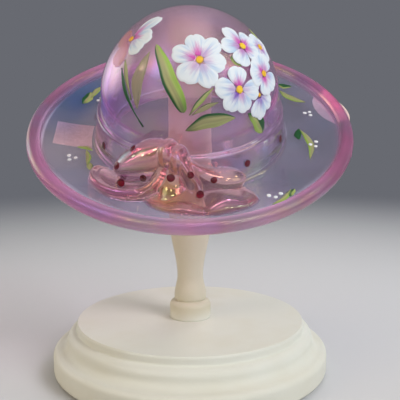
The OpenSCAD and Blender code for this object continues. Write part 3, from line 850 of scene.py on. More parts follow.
def bow_rise(shape, line):
    """How far the bow lifts each point of the hat's line towards the mould, at each azimuth."""
    cells = round((BOW_STOP - BOW_START) / BOW_STEP) + 1
    half = (RAYS_PER_CELL - 1) / 2
    fine = np.arange(cells * RAYS_PER_CELL)
    azimuths = BOW_START + BOW_STEP * (fine - half) / RAYS_PER_CELL
    rows = np.clip((np.arange(len(line) * RAYS_PER_CELL) - half) / RAYS_PER_CELL, 0, len(line) - 1)
    spots = np.stack([np.interp(rows, np.arange(len(line)), line[:, k]) for k in range(2)], -1)
    mould = np.array([MOULD_RADIUS, MOULD_HEIGHT])
    lift = ways_to(mould, spots)
    rise = np.full((len(azimuths), len(spots)), -np.inf)
    for centre, azimuth, halves, roll in ribbon_beads(shape):
        turn, lean = math.radians(azimuth), math.radians(roll)
        outward = np.array([math.sin(turn), -math.cos(turn), 0])
        aside, upward = np.array([math.cos(turn), math.sin(turn), 0]), np.array([0, 0, 1])
        level, steep = math.cos(lean), math.sin(lean)
        axes = np.array([aside, outward * level + upward * steep, upward * level - outward * steep])
        spread = math.degrees(halves.max() / shape.hat.crown_radius) * BEAD_REACH
        near = np.abs(azimuths - azimuth) < spread
        bases = around(azimuths[near, None], spots[None, :, 0], spots[None, :, 1])
        ways = around(azimuths[near, None], lift[None, :, 0], lift[None, :, 1])
        start, way = (bases - centre) @ axes.T / halves, ways @ axes.T / halves
        along, size = (start * way).sum(-1), (way * way).sum(-1)
        inside = along ** 2 - size * ((start * start).sum(-1) - 1)
        leaves = np.where(inside > 0, (np.sqrt(np.maximum(inside, 0)) - along) / size, -np.inf)
        rise[near] = np.maximum(rise[near], leaves)
    bed = bow_bed(line, mould)
    wide_bed = np.interp(rows, np.arange(len(line)), bed)
    above_bed = np.maximum(rise + wide_bed, 0)
    grid = above_bed.reshape(cells, RAYS_PER_CELL, len(line), RAYS_PER_CELL).mean((1, 3))
    column = math.radians(BOW_STEP) * line[:, 0].mean()
    grid = softened(drafted(grid, column, ZONE_SPACING), BOW_POLISH)
    rises = merged(grid, bed[None, :]) - bed[None, :]
    return BOW_START + BOW_STEP * np.arange(cells), rises, ways_to(mould, line)


def bow_bed(line, mould):
    """How far each point of the line stands over a smooth bed behind it, as seen from the mould."""
    far = np.linalg.norm(mould - line, axis=1)
    bed = eased(far.copy(), BED_PASSES)
    bed += (far - bed).max() + BED_DEPTH
    return bed - far


def merged(first, second):
    """The higher of two heights, with a small hollow where they meet."""
    gap = np.clip(0.5 + 0.5 * (first - second) / FILLET, 0, 1)
    return second + (first - second) * gap + FILLET * gap * (1 - gap)


def drafted(grid, column, row):
    """Steep sides given a mould's draft: no value is below its neighbours' less the draft between."""
    moves = [(i, j) for i in (-1, 0, 1) for j in (-1, 0, 1) if i or j]
    for _ in range(DRAFT_CELLS):
        edged = np.pad(grid, 1, mode="edge")
        high, wide = grid.shape
        for i, j in moves:
            drop = BOW_DRAFT * math.hypot(i * column, j * row)
            grid = np.maximum(grid, edged[1 + i:1 + i + high, 1 + j:1 + j + wide] - drop)
    return grid


def hat_line(shape):
    """The hat's section from the dome's top, round the lip, to the dome's inside, and its bow part."""
    hat = shape.hat
    roll_in, brim_start = shape.band_top_r - hat.band_roll, shape.foot_r + hat.band_fillet
    zone = (
        arc((0, 0), hat.crown_radius, ZONE_LATITUDE, 0, 20)
        + [(hat.crown_radius, shape.band_top_z)]
        + arc((roll_in, shape.band_top_z - hat.band_roll), hat.band_roll, 90, 0, 6)
        + arc((brim_start, shape.foot_z + hat.band_fillet), hat.band_fillet, 180, 255, 8)
        + [(r, float(shape.brim_z(r))) for r in np.linspace(brim_start, shape.lip_in_r, 24)[1:]]
    )
    zone = eased_line(zone, ZONE_SPACING, 3)
    under = [
        (r, float(shape.brim_z(r)) - hat.brim_thickness)
        for r in np.linspace(shape.lip_in_r, shape.foot_r, 17)[1:]
    ]
    mouth_r = shape.inner_r + hat.mouth_draft
    mouth = (mouth_r + hat.mouth_round, shape.foot_z - hat.brim_thickness + hat.mouth_round)
    top = arc((0, 0), hat.crown_radius, 90, ZONE_LATITUDE, 30)[:-1]
    lip = arc((shape.lip_r, shape.lip_z), hat.lip_radius, shape.lip_in_angle, -125, 34)[1:]
    wall = [(mouth_r - hat.mouth_draft * t, mouth[1] * (1 - t)) for t in np.linspace(0, 1, 9)[1:-1]]
    inside = arc((0, 0), shape.inner_r, 0, 90, 28)
    rounding = arc(mouth, hat.mouth_round, 270, 180, 8)
    line = top + [tuple(p) for p in zone] + lip + under + rounding + wall + inside
    line[0], line[-1] = (0.0, line[0][1]), (0.0, line[-1][1])
    return line, zone


# Patches of tint and of painted sheen on the glass: azimuth of the middle, spread in degrees and strength
CLEAR_PATCH, TEAL_SHEEN, AMBER_SHEEN = (-78, 24, 0.9), (-118, 24, 0.9), (-9, 8, 1.0)
VIOLET_SHEEN_LEFT, VIOLET_SHEEN_RIGHT = (-68, 40, 0.9), (60, 30, 0.5)
LILAC_SHEEN_FRONT, LILAC_SHEEN_LEFT = (0, 40, 1.0), (-90, 40, 0.35)
# Where a tint or a painted sheen starts and where it is full, in millimetres: radii, heights, and the bow's
# rise
TEAL_SHEEN_RADII, AMBER_SHEEN_RADII = (66, 80), (64, 72)
VIOLET_SHEEN_HEIGHTS, SATIN_HEIGHTS = (46, 12), (28, 46)
BOW_RISES = (0.3, 2.5)
# The same for the lip, from its inner edge, and for the crown, over the brim's foot and the band's top
LIP_REACH, CROWN_REACH = (-1.5, 2.5), (2, 4)
CROWN_SATIN = 0.8


def glass_tints(places, rise, shape, finishes):
    """Each point's tint, and how satin it is: a cool brim, a pink lip, a mauve crown and a salmon bow, with
    patches of painted sheen.
    """
    (radius, azimuth), height = polar(places), places[:, 2]

    def beside(middle, spread, strength):
        return strength * np.exp(-(((azimuth - middle + 180) % 360 - 180) / spread) ** 2)

    def between(value, limits, start=0, stop=0):
        return ease(value, start + limits[0] * MM, stop + limits[1] * MM)

    crown = between(height, CROWN_REACH, shape.foot_z, shape.band_top_z)
    low_crown_sheen = crown * between(height, VIOLET_SHEEN_HEIGHTS)
    lip = between(radius, LIP_REACH, shape.lip_in_r, shape.lip_in_r)
    bow = between(rise, BOW_RISES)
    layers = [
        # The blue, violet, lilac and amber layers are painted sheen: reflections painted into the glass's
        # tint
        (finishes.brim_clear, beside(*CLEAR_PATCH)),
        (finishes.brim_teal_sheen, beside(*TEAL_SHEEN) * between(radius, TEAL_SHEEN_RADII)),
        (finishes.crown_mauve, crown),
        (finishes.crown_violet_sheen, low_crown_sheen * beside(*VIOLET_SHEEN_LEFT)),
        (finishes.crown_violet_sheen, low_crown_sheen * beside(*VIOLET_SHEEN_RIGHT)),
        (finishes.lip_pink, lip),
        (finishes.lip_lilac_sheen, lip * np.maximum(beside(*LILAC_SHEEN_FRONT), beside(*LILAC_SHEEN_LEFT))),
        (finishes.bow_salmon, bow),
        (finishes.bow_amber_sheen, bow * beside(*AMBER_SHEEN) * between(radius, AMBER_SHEEN_RADII)),
    ]
    satin = np.maximum(lip, CROWN_SATIN * between(height, SATIN_HEIGHTS))
    tints = np.tile(np.array(finishes.brim_sky, float), (len(places), 1))
    for tint, weight in layers:
        tints += (np.array(tint, float) - tints) * weight[:, None]
    return np.concatenate([tints, satin[:, None]], 1)


# Steps of the spin outside the bow, and how near a point is to the line's point that it came from
PLAIN_STEPS, SAME_POINT = 108, 0.02 * MM


class GlassHat(bpy.types.Operator):
    """Spin the glass hat and press its bow"""

    bl_idname = "glass_hat.hat"
    bl_label = "Glass Hat"
    bl_options = {"REGISTER", "UNDO"}

    def execute(self, context):
        scene = context.scene
        shape = HatShape(scene.hat_sizes)
        line, zone = hat_line(shape)
        bow_turn = BOW_STOP - BOW_START
        turns = (bow_turn, round(bow_turn / BOW_STEP)), (360 - bow_turn, PLAIN_STEPS)
        piece = turned("glass_hat", line, BOW_STOP, *turns)
        azimuths, rises, lift = bow_rise(shape, zone)
        places = corners(piece)
        radius, azimuth = polar(places)
        flat = np.stack([radius, places[:, 2]], -1)
        in_bow = (azimuth >= BOW_START - BOW_STEP) & (azimuth <= BOW_STOP + BOW_STEP)
        raised = np.zeros(len(places))
        for j, spot in enumerate(zone):
            here = in_bow & (np.abs(flat - spot).max(1) < SAME_POINT)
            raised[here] = rise = np.interp(azimuth[here], azimuths, rises[:, j])
            places[here] = around(
                azimuth[here], radius[here] + rise * lift[j, 0], places[here, 2] + rise * lift[j, 1]
            )
        move_corners(piece, places)
        tints = glass_tints(places, raised, shape, scene.finishes)
        layer = piece.data.attributes.new("tint", "FLOAT_COLOR", "POINT")
        layer.data.foreach_set("color", tints.astype(np.float32).ravel())
        smooth(piece, GLASS_SMOOTH)
        apply_place(piece, shape.place)
        glass = get_material("lustre_glass", pink_glass, scene.finishes)
        finished(piece, "hat", glass, "hat_glass")
        return {"FINISHED"}


# Stand

# Steps round each turned piece
BASE_STEPS, SPINDLE_STEPS, FELT_STEPS, PAD_STEPS = 144, 72, 96, 64
# Spacing of the points along the turned lines
BASE_SPACING, SPINDLE_SPACING = 0.6 * MM, 0.5 * MM
# Broken edges of the base's and column's ends, of the base's flat top and of the spindle's foot
END_BREAK, TOP_BREAK, FOOT_BREAK = 1 * MM, 0.7 * MM, 0.4 * MM
# How far in from its edge the base's top has its first ring, and how far under it the painted shade starts
TOP_RING, SHADE_DROP = 4 * MM, 2 * MM
# Rounding of the spindle's ring, and how far over the bead it has its centre
RING_ROUND, RING_LIFT = 1.2 * MM, 1.4 * MM


class StandBase(bpy.types.Operator):
    """Turn the moulded base, bored for its screw"""

    bl_idname = "glass_hat.stand_base"
    bl_label = "Stand Base"
    bl_options = {"REGISTER", "UNDO"}

    def execute(self, context):
        sizes = context.scene.stand_sizes
        low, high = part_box("stand_base")
        outer = sizes.base_top_radius + sizes.ovolo + sizes.cove + sizes.nosing
        nosing_r = outer - sizes.nosing
        cove_z = high.z - sizes.fillet - sizes.ovolo
        side_z = low.z + sizes.base_side
        outside = (
            [(outer - END_BREAK, low.z), (outer, low.z + END_BREAK)]
            + arc((nosing_r, side_z), sizes.nosing, 0, 90, 10)
            + arc((nosing_r, cove_z), sizes.cove, 270, 180, 12)
            + arc((sizes.base_top_radius, cove_z), sizes.ovolo, 0, 90, 12)
            + [(sizes.base_top_radius, high.z - TOP_BREAK), (sizes.base_top_radius - TOP_BREAK, high.z)]
        )
        bore = [
            (sizes.screw_bore, high.z), (sizes.screw_bore, low.z + sizes.counterbore_depth),
            (sizes.counterbore, low.z + sizes.counterbore_depth), (sizes.counterbore, low.z),
        ]
        top_r = sizes.base_top_radius - TOP_RING
        top = [(r, high.z) for r in np.linspace(top_r, sizes.screw_bore, 8)[:-1]]
        line = [tuple(p) for p in eased_line(outside, BASE_SPACING, 2)] + top + bore
        piece = turned("stand_base_turned", line + line[:1], 0, (360, BASE_STEPS))
        smooth(piece, TURNED_SMOOTH)
        finished(piece, "stand", paint_of(context.scene), "stand_base")
        return {"FINISHED"}


def paint_of(scene):
    low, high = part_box("stand_base")
    return get_material("cream_paint", cream_paint, scene.finishes, low.z, high.z - SHADE_DROP)


class Spindle(bpy.types.Operator):
    """Turn the spindle, with its bead, ring, waist and column"""

    bl_idname = "glass_hat.spindle"
    bl_label = "Spindle"
    bl_options = {"REGISTER", "UNDO"}

    def execute(self, context):
        sizes = context.scene.stand_sizes
        low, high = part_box("spindle")
        foot = low.z

        def swell(first, last, start, stop, steps):
            marks = np.linspace(0, 1, steps + 1)
            radii, heights = first + (last - first) * ease(marks, 0, 1), foot + start + (stop - start) * marks
            return list(zip(radii, heights))

        foot_r, end_r = sizes.bead_radius - FOOT_BREAK, sizes.column_radius - END_BREAK
        neck_r = sizes.bead_radius - sizes.bead_round
        ring_z = sizes.bead_height + sizes.ring_rise
        ring = (sizes.ring_radius - RING_ROUND, foot + sizes.bead_height + RING_LIFT)
        column = np.linspace(foot + sizes.flare_height, high.z - END_BREAK, 14)[1:]
        outside = (
            [(foot_r, foot), (sizes.bead_radius, foot + FOOT_BREAK)]
            + arc((neck_r, foot + sizes.bead_height - sizes.bead_round), sizes.bead_round, 0, 90, 10)
            + [(sizes.ring_radius - sizes.ring_groove, foot + sizes.bead_height)]
            + arc(ring, RING_ROUND, -60, 20, 6)
            + swell(sizes.ring_radius, sizes.waist_radius, ring_z, sizes.waist_height, 16)
            + swell(sizes.waist_radius, sizes.column_radius, sizes.waist_height, sizes.flare_height, 24)[1:]
            + [(sizes.column_radius, z) for z in column] + [(end_r, high.z)]
        )
        line = [tuple(p) for p in eased_line(outside, SPINDLE_SPACING, 1)]
        bore_z = foot + sizes.bore_depth
        line = (
            [(0.0, bore_z), (sizes.screw_bore, bore_z), (sizes.screw_bore, foot)]
            + [(r, foot) for r in np.linspace(sizes.screw_bore, foot_r, 5)[1:-1]]
            + line
            + [(r, high.z) for r in np.linspace(end_r, 0, 6)[1:]]
        )
        piece = turned("spindle_turned", line, 0, (360, SPINDLE_STEPS))
        smooth(piece, TURNED_SMOOTH)
        finished(piece, "stand", paint_of(context.scene), "spindle")
        return {"FINISHED"}


# Felt: rounding of each disc's edge, and how far its cut waves, as a share of its radius
FELT_EDGE, PAD_EDGE, CUT_WAVE = 0.4 * MM, 0.7 * MM, 0.0015


class Felts(bpy.types.Operator):
    """Cut the felt under the base and the felt disc on the spindle"""

    bl_idname = "glass_hat.felts"
    bl_label = "Felts"
    bl_options = {"REGISTER", "UNDO"}

    def execute(self, context):
        finishes = context.scene.finishes
        green = get_material("base_felt_cloth", fibrous, finishes.felt_green, 1500.0, 0.3 * MM, 0.95)
        pale = get_material("pad_felt_cloth", fibrous, finishes.felt_pale, 1800.0, 0.25 * MM, 0.95)
        low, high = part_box("base_felt")
        sheet = self.disc("base_felt_sheet", low, high, FELT_EDGE, FELT_STEPS)
        finished(sheet, "stand", green, "base_felt")
        low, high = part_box("rest_pad")
        pad = self.disc("rest_pad_felt", low, high, PAD_EDGE, PAD_STEPS)
        finished(pad, "pad", pale, "rest_pad")
        return {"FINISHED"}

    def disc(self, name, low, high, edge, steps):
        """A disc of felt with soft edges and a slightly wavy cut."""
        radius = (high.x - low.x) / 2
        flat_r, edge_r = radius - 4 * edge, radius - edge
        side = (
            [(flat_r, low.z)] + arc((edge_r, low.z + edge), edge, -90, 0, 5)
            + arc((edge_r, high.z - edge), edge, 0, 90, 5) + [(flat_r, high.z)]
        )
        inner = np.linspace(0, flat_r, 6)[:-1]
        line = [(r, low.z) for r in inner] + side + [(r, high.z) for r in inner[::-1]]
        piece = turned(name, line, 0, (360, steps))
        places = corners(piece)
        turn = np.arctan2(places[:, 1], places[:, 0])
        wave = 1 - CUT_WAVE * (1 + np.sin(11 * turn) * np.cos(7 * turn + 1))
        places[:, :2] *= wave[:, None]
        move_corners(piece, places)
        smooth(piece, SOFT_SMOOTH)
        return piece


class Fittings(bpy.types.Operator):
    """Finish the screw and the paper labels"""

    bl_idname = "glass_hat.fittings"
    bl_label = "Screw and Labels"
    bl_options = {"REGISTER", "UNDO"}

    def execute(self, context):
        finishes = context.scene.finishes
        paper = get_material("sticker_paper", fibrous, finishes.paper, 1200.0, 0.05 * MM, 0.8)
        zinc = get_material("zinc_plate", zinc_plate, finishes)
        for name, material in (("base_screw", zinc), ("square_label", paper), ("oval_label", paper)):
            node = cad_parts[name]
            node.data.materials.clear()
            node.data.materials.append(material)
        return {"FINISHED"}


# Enamel

# Flowers on the dome: azimuth, latitude and radius in degrees from the dome's centre, coat, size of the eye,
# and petals, each with its direction, reach, width, pink flush, share of violet and how fully it is painted
FLOWERS = [
    (10, 51, 15.7, 0, 1.0, [
        (94, 1.1, 0.8, 1.0, 0.05, 1), (152, 1.06, 0.8, 1.0, 0.1, 1), (224, 1.02, 0.98, 0.5, 0.3, 1),
        (288, 1.06, 0.86, 0.45, 0.45, 1), (348, 0.98, 0.84, 0.4, 0.3, 1), (44, 1.12, 0.76, 0.55, 0.35, 1),
    ]),
    (35, 30, 13.5, 1, 1.05, [
        (76, 0.98, 1.0, 1.0, 0.15, 1), (344, 1.12, 0.95, 0.4, 0.4, 1), (276, 1.0, 0.86, 0.65, 0.2, 1),
        (220, 1.04, 0.88, 1.0, 1.0, 1), (158, 1.1, 0.95, 0.5, 0.5, 1),
    ]),
    (58, 51, 12.4, 1, 1.0, [
        (88, 1.24, 0.86, 1.0, 0.1, 1), (146, 1.14, 0.9, 0.8, 0.35, 1), (218, 1.06, 1.05, 0.8, 0.4, 1),
        (304, 1.08, 1.05, 1.0, 0.2, 1), (10, 1.0, 1.05, 1.0, 0.15, 1),
    ]),
    (61, 31, 11.9, 2, 0.95, [
        (106, 0.95, 1.0, 1.0, 0.15, 1), (35, 1.1, 1.1, 0.7, 0.3, 1), (305, 1.15, 1.1, 0.6, 0.3, 1),
        (250, 1.1, 1.0, 1.0, 0.1, 1), (165, 0.95, 1.1, 0.8, 0.2, 1),
    ]),
    (80, 42, 10.2, 0, 0.9, [
        (60, 1.0, 1.0, 0.5, 0.6, 1), (132, 1.0, 1.0, 0.8, 0.5, 1), (204, 1.0, 1.0, 0.5, 0.4, 1),
        (276, 1.0, 1.0, 0.8, 0.5, 1), (348, 1.0, 1.0, 0.6, 0.3, 1),
    ]),
    (50.3, 21.9, 12.5, 0, 0.55, [
        (236, 1.05, 0.75, 0.8, 1.0, 1), (313, 1.12, 0.8, 0.6, 0.9, 1), (263, 1.15, 0.8, 0.8, 0.95, 1),
    ]),
    (-72, 52, 14.1, 0, 0.85, [
        (205, 1.0, 1.0, 0.4, 0.2, 0), (282, 1.3, 0.95, 0.3, 0.0, 0), (98, 1.6, 0.75, 0.9, 0.1, 1),
        (48, 1.05, 0.95, 1.0, 0.1, 1), (2, 1.0, 0.95, 0.35, 0.3, 1),
    ]),
]
PETAL_CELLS = 26
# A petal in shares of its flower: how far from the flower's middle it starts, and its half width
PETAL_HEART, PETAL_WIDTH = 0.16, 0.48
# The notch at its tip, by depth and width, and the ripple of its outline
NOTCH_DEPTH, NOTCH_WIDTH, PETAL_RIPPLE = 0.05, 0.16, 0.018
# In coats: the drop at its edge, the rise of its rim and of its brush ridges, and the step between petals
PETAL_DROP, RIM_RISE, RIDGE_RISE, COAT_STEP = 0.75, 0.12, 0.09, 0.1
# Where the rim lies from the petal's middle to its edge, and how wide it is
RIM_PLACE, RIM_WIDTH = 0.86, 0.09


def dome_frame(azimuth, latitude):
    """Right, up and outward on the dome, as rows."""
    a, b = math.radians(azimuth), math.radians(latitude)
    right = (math.cos(a), math.sin(a), 0)
    up = (-math.sin(a) * math.sin(b), math.cos(a) * math.sin(b), math.cos(b))
    outward = (math.cos(b) * math.sin(a), -math.cos(b) * math.cos(a), math.sin(b))
    return np.array([right, up, outward])


def onto_dome(shape, axes, right, up, lift):
    """Flat places projected onto the dome and lifted off it."""
    radius = shape.hat.crown_radius
    out = np.sqrt(np.maximum(radius ** 2 - right ** 2 - up ** 2, 0))
    ways = (right[:, None] * axes[0] + up[:, None] * axes[1] + out[:, None] * axes[2]) / radius
    return ways * (radius + lift)[:, None]


def grid_piece(name, across, along):
    """A flat grid from -1 to 1 each way, with no UV map, ready for a stroke map and its dab's values."""
    pick()
    bpy.ops.mesh.primitive_grid_add(x_subdivisions=across, y_subdivisions=along, size=2)
    piece = named(name)
    while piece.data.uv_layers:
        piece.data.uv_layers.remove(piece.data.uv_layers[0])
    return piece


def set_stroke(piece, across, along, dab):
    """Writes the stroke map from values at the vertices, and one dab's values all over."""
    mesh = piece.data
    corner = np.zeros(len(mesh.loops), np.int32)
    mesh.loops.foreach_get("vertex_index", corner)
    layer = mesh.uv_layers.new(name="stroke")
    layer.data.foreach_set("uv", np.stack([across[corner], along[corner]], -1).astype(np.float32).ravel())
    values = mesh.attributes.new("dab", "FLOAT_COLOR", "POINT")
    values.data.foreach_set("color", np.tile(np.array(dab, np.float32), len(mesh.vertices)))


def hat_layer(shape, name, dabs, material, node, coat=0):
    """Joins dabs of enamel, gives flat ones the thickness of a coat, and lays them on the tilted hat."""
    piece = joined(name, dabs)
    if coat:
        apply_modifier(piece, "SOLIDIFY", thickness=coat, offset=-1.0, use_rim=True)
    smooth(piece, SOFT_SMOOTH)
    apply_place(piece, shape.place)
    finished(piece, "hat", material, node)


def rounded_grid(places):
    """A square grid's points pulled to a round disc."""
    u, v = places[:, 0], places[:, 1]
    return u * np.sqrt(1 - v * v / 2), v * np.sqrt(1 - u * u / 2)


class Flowers(bpy.types.Operator):
    """Paint the flowers' petals and set their eyes"""

    bl_idname = "glass_hat.flowers"
    bl_label = "Flowers"
    bl_options = {"REGISTER", "UNDO"}

    def execute(self, context):
        scene = context.scene
        shape, enamel, finishes = HatShape(scene.hat_sizes), scene.enamel_sizes, scene.finishes
        pattern = grid_piece("petal", PETAL_CELLS, PETAL_CELLS)
        drop = drop_pattern("eye", enamel.eye_radius, enamel.eye_height)
        petals, eyes = [], []
        for f, (azimuth, latitude, size, coat, eye, lobes) in enumerate(FLOWERS):
            axes = dome_frame(azimuth, latitude)
            flower_r = shape.hat.crown_radius * math.sin(math.radians(size))
            for k, lobe in enumerate(lobes):
                layer, seed = coat + COAT_STEP * (k % 3), 5 * f + k
                petals.append(self.petal(pattern, shape, enamel, axes, flower_r, layer, lobe, seed))
            lift = shape.hat.crown_radius + coat * enamel.coat + 0.6 * enamel.coat
            eyes.append(drop_copy(drop, axes[2] * lift, axes, eye, 40 * f))
        bpy.data.objects.remove(pattern)
        bpy.data.objects.remove(drop)
        white = get_material("petal_enamel", petal_enamel, finishes)
        yellow = get_material("yellow_drops", drop_enamel, finishes.eye_yellow, finishes.eye_amber, 0.3)
        thick = enamel.coat + enamel.bite
        hat_layer(shape, "painted_petals", petals, white, "flower_petals", thick)
        hat_layer(shape, "flower_eye_drops", eyes, yellow, "flower_eyes")
        return {"FINISHED"}

    def petal(self, pattern, shape, enamel, axes, flower_r, coat, lobe, seed):
        """One rounded petal, notched at its tip, with brush ridges and a raised rim."""
        direction, reach, width, pink, violet, body = lobe
        twin = copy_of(pattern)
        x, y = rounded_grid(corners(twin))
        rho = np.hypot(x, y)
        heart = PETAL_HEART + 0.02 * math.sin(2.3 * seed)
        half_long = (1.0 - heart) / 2 * (1 + 0.03 * math.sin(3.1 * seed))
        taper = 0.5 + 0.5 * np.clip((y + 1) / 1.3, 0, 1) ** 0.8
        wide = PETAL_WIDTH * width * taper
        from_notch = (x - 0.2 * math.sin(seed)) / NOTCH_WIDTH
        notch = NOTCH_DEPTH * np.exp(-(from_notch ** 2)) * np.clip(y, 0, 1) ** 4
        ripple = PETAL_RIPPLE * np.sin(3 * np.arctan2(y, x) + seed) * rho ** 4
        along = heart + half_long * (y + 1) * (1 + ripple) - notch
        side = wide * x * (1 + ripple)
        turn = math.radians(direction)
        right = flower_r * (reach * along * math.cos(turn) - side * math.sin(turn))
        up = flower_r * (reach * along * math.sin(turn) + side * math.cos(turn))
        ridges = np.sin(9 * x + seed) * 0.6 + np.sin(17 * x + 2 * seed) * 0.4
        rim = RIM_RISE * np.exp(-(((rho - RIM_PLACE) / RIM_WIDTH) ** 2))
        height = 1 - PETAL_DROP * rho ** 8 + rim + RIDGE_RISE * ridges * (1 - rho ** 2)
        move_corners(twin, onto_dome(shape, axes, right, up, enamel.coat * (coat + height)))
        set_stroke(twin, x / 2 + 0.5, along, (pink, violet, seed * 0.731, body))
        return twin


def drop_pattern(name, radius, height):
    """One drop of enamel: a ball cut in half and pressed flat, its foot sunk a little."""
    pick()
    bpy.ops.mesh.primitive_uv_sphere_add(segments=24, ring_count=14, radius=radius)
    piece = named(name)
    bpy.ops.object.mode_set(mode="EDIT")
    bpy.ops.mesh.select_all(action="SELECT")
    bpy.ops.mesh.bisect(plane_co=(0, 0, 0), plane_no=(0, 0, 1), clear_inner=True, use_fill=True)
    bpy.ops.mesh.select_all(action="SELECT")
    bpy.ops.transform.resize(value=(1, 1, height / radius))
    bpy.ops.object.mode_set(mode="OBJECT")
    places = corners(piece)
    turn = np.arctan2(places[:, 1], places[:, 0])
    places[:, :2] *= (1 + 0.04 * np.sin(2 * turn) + 0.025 * np.sin(3 * turn + 1))[:, None]
    places[:, 2] = np.where(places[:, 2] < 0.02 * height, -0.35 * height, places[:, 2])
    move_corners(piece, places)
    return piece


def drop_copy(pattern, place, axes, scale, turn):
    """A copy of a drop, stood on a surface along its outward axis."""
    twin = copy_of(pattern)
    t = math.radians(turn)
    right = math.cos(t) * axes[0] + math.sin(t) * axes[1]
    up = -math.sin(t) * axes[0] + math.cos(t) * axes[1]
    move_corners(twin, np.asarray(place) + scale * corners(twin) @ np.array([right, up, axes[2]]))
    return twin


# Leaves on the dome: foot and tip as azimuth and latitude, width in degrees, sideways bend as a share of the
# length, where it is widest, how blunt its ends are, strength of the dark edge and of the light edge, and how
# fully it is painted
LEAVES = [
    ((-2.5, 21.5), (-37.2, 58), 8.8, 0.0, 0.75, 0.5, 1.0, 0.9, 1.0),
    ((-1.8, 11.1), (29, 15), 8.6, -0.09, 1.0, 0.75, 1.0, 0.2, 0.85),
    ((0.6, 20.2), (17.4, 34.4), 2.9, -0.04, 1.0, 0.9, 1.0, 0.8, 0.95),
    ((2.3, 20.2), (19, 25.9), 3.2, -0.05, 1.0, 0.9, 0.6, 0.1, 0.6),
    ((-27.6, 9.8), (-57.7, 36.2), 2.8, -0.03, 1.7, 0.9, 2.0, 0.0, 1.0),
    ((-38.5, 22.8), (-59.4, 41.3), 3.2, 0.0, 1.6, 0.9, 0.7, 0.2, 0.8),
    ((-33.1, 19.1), (-39.2, 52.3), 8.0, -0.07, 1.0, 0.8, 0.1, 0.05, 0.5),
    ((38.4, 14.7), (50.6, -3), 9.4, -0.08, 1.3, 0.6, 1.3, 0.8, 1.0),
    ((39.9, 49.1), (45.1, 41.4), 4.6, 0.0, 0.7, 0.8, 1.1, 0.5, 1.0),
    ((100, 50), (90, 36), 3.2, 0.0, 1.0, 0.8, 0.6, 0.8, 1.0),
]
LEAF_ACROSS, LEAF_ALONG = 12, 40
# A leaf's least width and its wobble as shares of its width, and the drop at its edge in coats
LEAF_LEAST, LEAF_WOBBLE, LEAF_DROP = 0.03, 0.04, 0.7


def blade(pattern, length, width, bend, seed, coat, widest, blunt, dab):
    """A leaf with its stroke map, its flat places along and across its stroke, and its raised height."""
    twin = copy_of(pattern)
    places = corners(twin)
    across, along = places[:, 0], (places[:, 1] + 1) / 2
    half = width / 2 * np.maximum(np.maximum(np.sin(np.pi * along ** widest), 0) ** blunt, LEAF_LEAST)
    wobble = LEAF_WOBBLE * width * np.sin(11 * along + seed)
    run = length * (along - 0.5)
    side = half * across + bend * length * np.sin(np.pi * along) + wobble * np.sin(np.pi * along)
    ridges = 0.12 * np.sin(6 * across + seed) + 0.08 * np.sin(13 * across + 2 * seed)
    height = coat * (1 - LEAF_DROP * np.abs(across) ** 4 + ridges * (1 - across ** 2))
    set_stroke(twin, across / 2 + 0.5, along, dab)
    return twin, run, side, height


class CrownLeaves(bpy.types.Operator):
    """Paint the leaves on the dome"""

    bl_idname = "glass_hat.crown_leaves"
    bl_label = "Crown Leaves"
    bl_options = {"REGISTER", "UNDO"}

    def execute(self, context):
        scene = context.scene
        shape, enamel = HatShape(scene.hat_sizes), scene.enamel_sizes
        radius = shape.hat.crown_radius
        pattern = grid_piece("leaf", LEAF_ACROSS, LEAF_ALONG)
        leaves = []
        for n, (foot, tip, width, bend, widest, blunt, dark, light, body) in enumerate(LEAVES):
            start, stop = dome_frame(*foot)[2], dome_frame(*tip)[2]
            outward = (start + stop) / np.linalg.norm(start + stop)
            run_way = (stop - start) / np.linalg.norm(stop - start)
            axes = np.array([np.cross(run_way, outward), run_way, outward])
            twin, run, side, height = blade(
                pattern, radius * np.linalg.norm(stop - start), radius * math.sin(math.radians(width)),
                bend, n, enamel.coat, widest, blunt, (dark, light, n * 0.37, body),
            )
            move_corners(twin, onto_dome(shape, axes, side, run, height))
            leaves.append(twin)
        bpy.data.objects.remove(pattern)
        green = get_material("leaf_enamel", leaf_enamel, scene.finishes)
        thick = enamel.coat + enamel.bite
        hat_layer(shape, "painted_crown_leaves", leaves, green, "crown_leaves", thick)
        return {"FINISHED"}


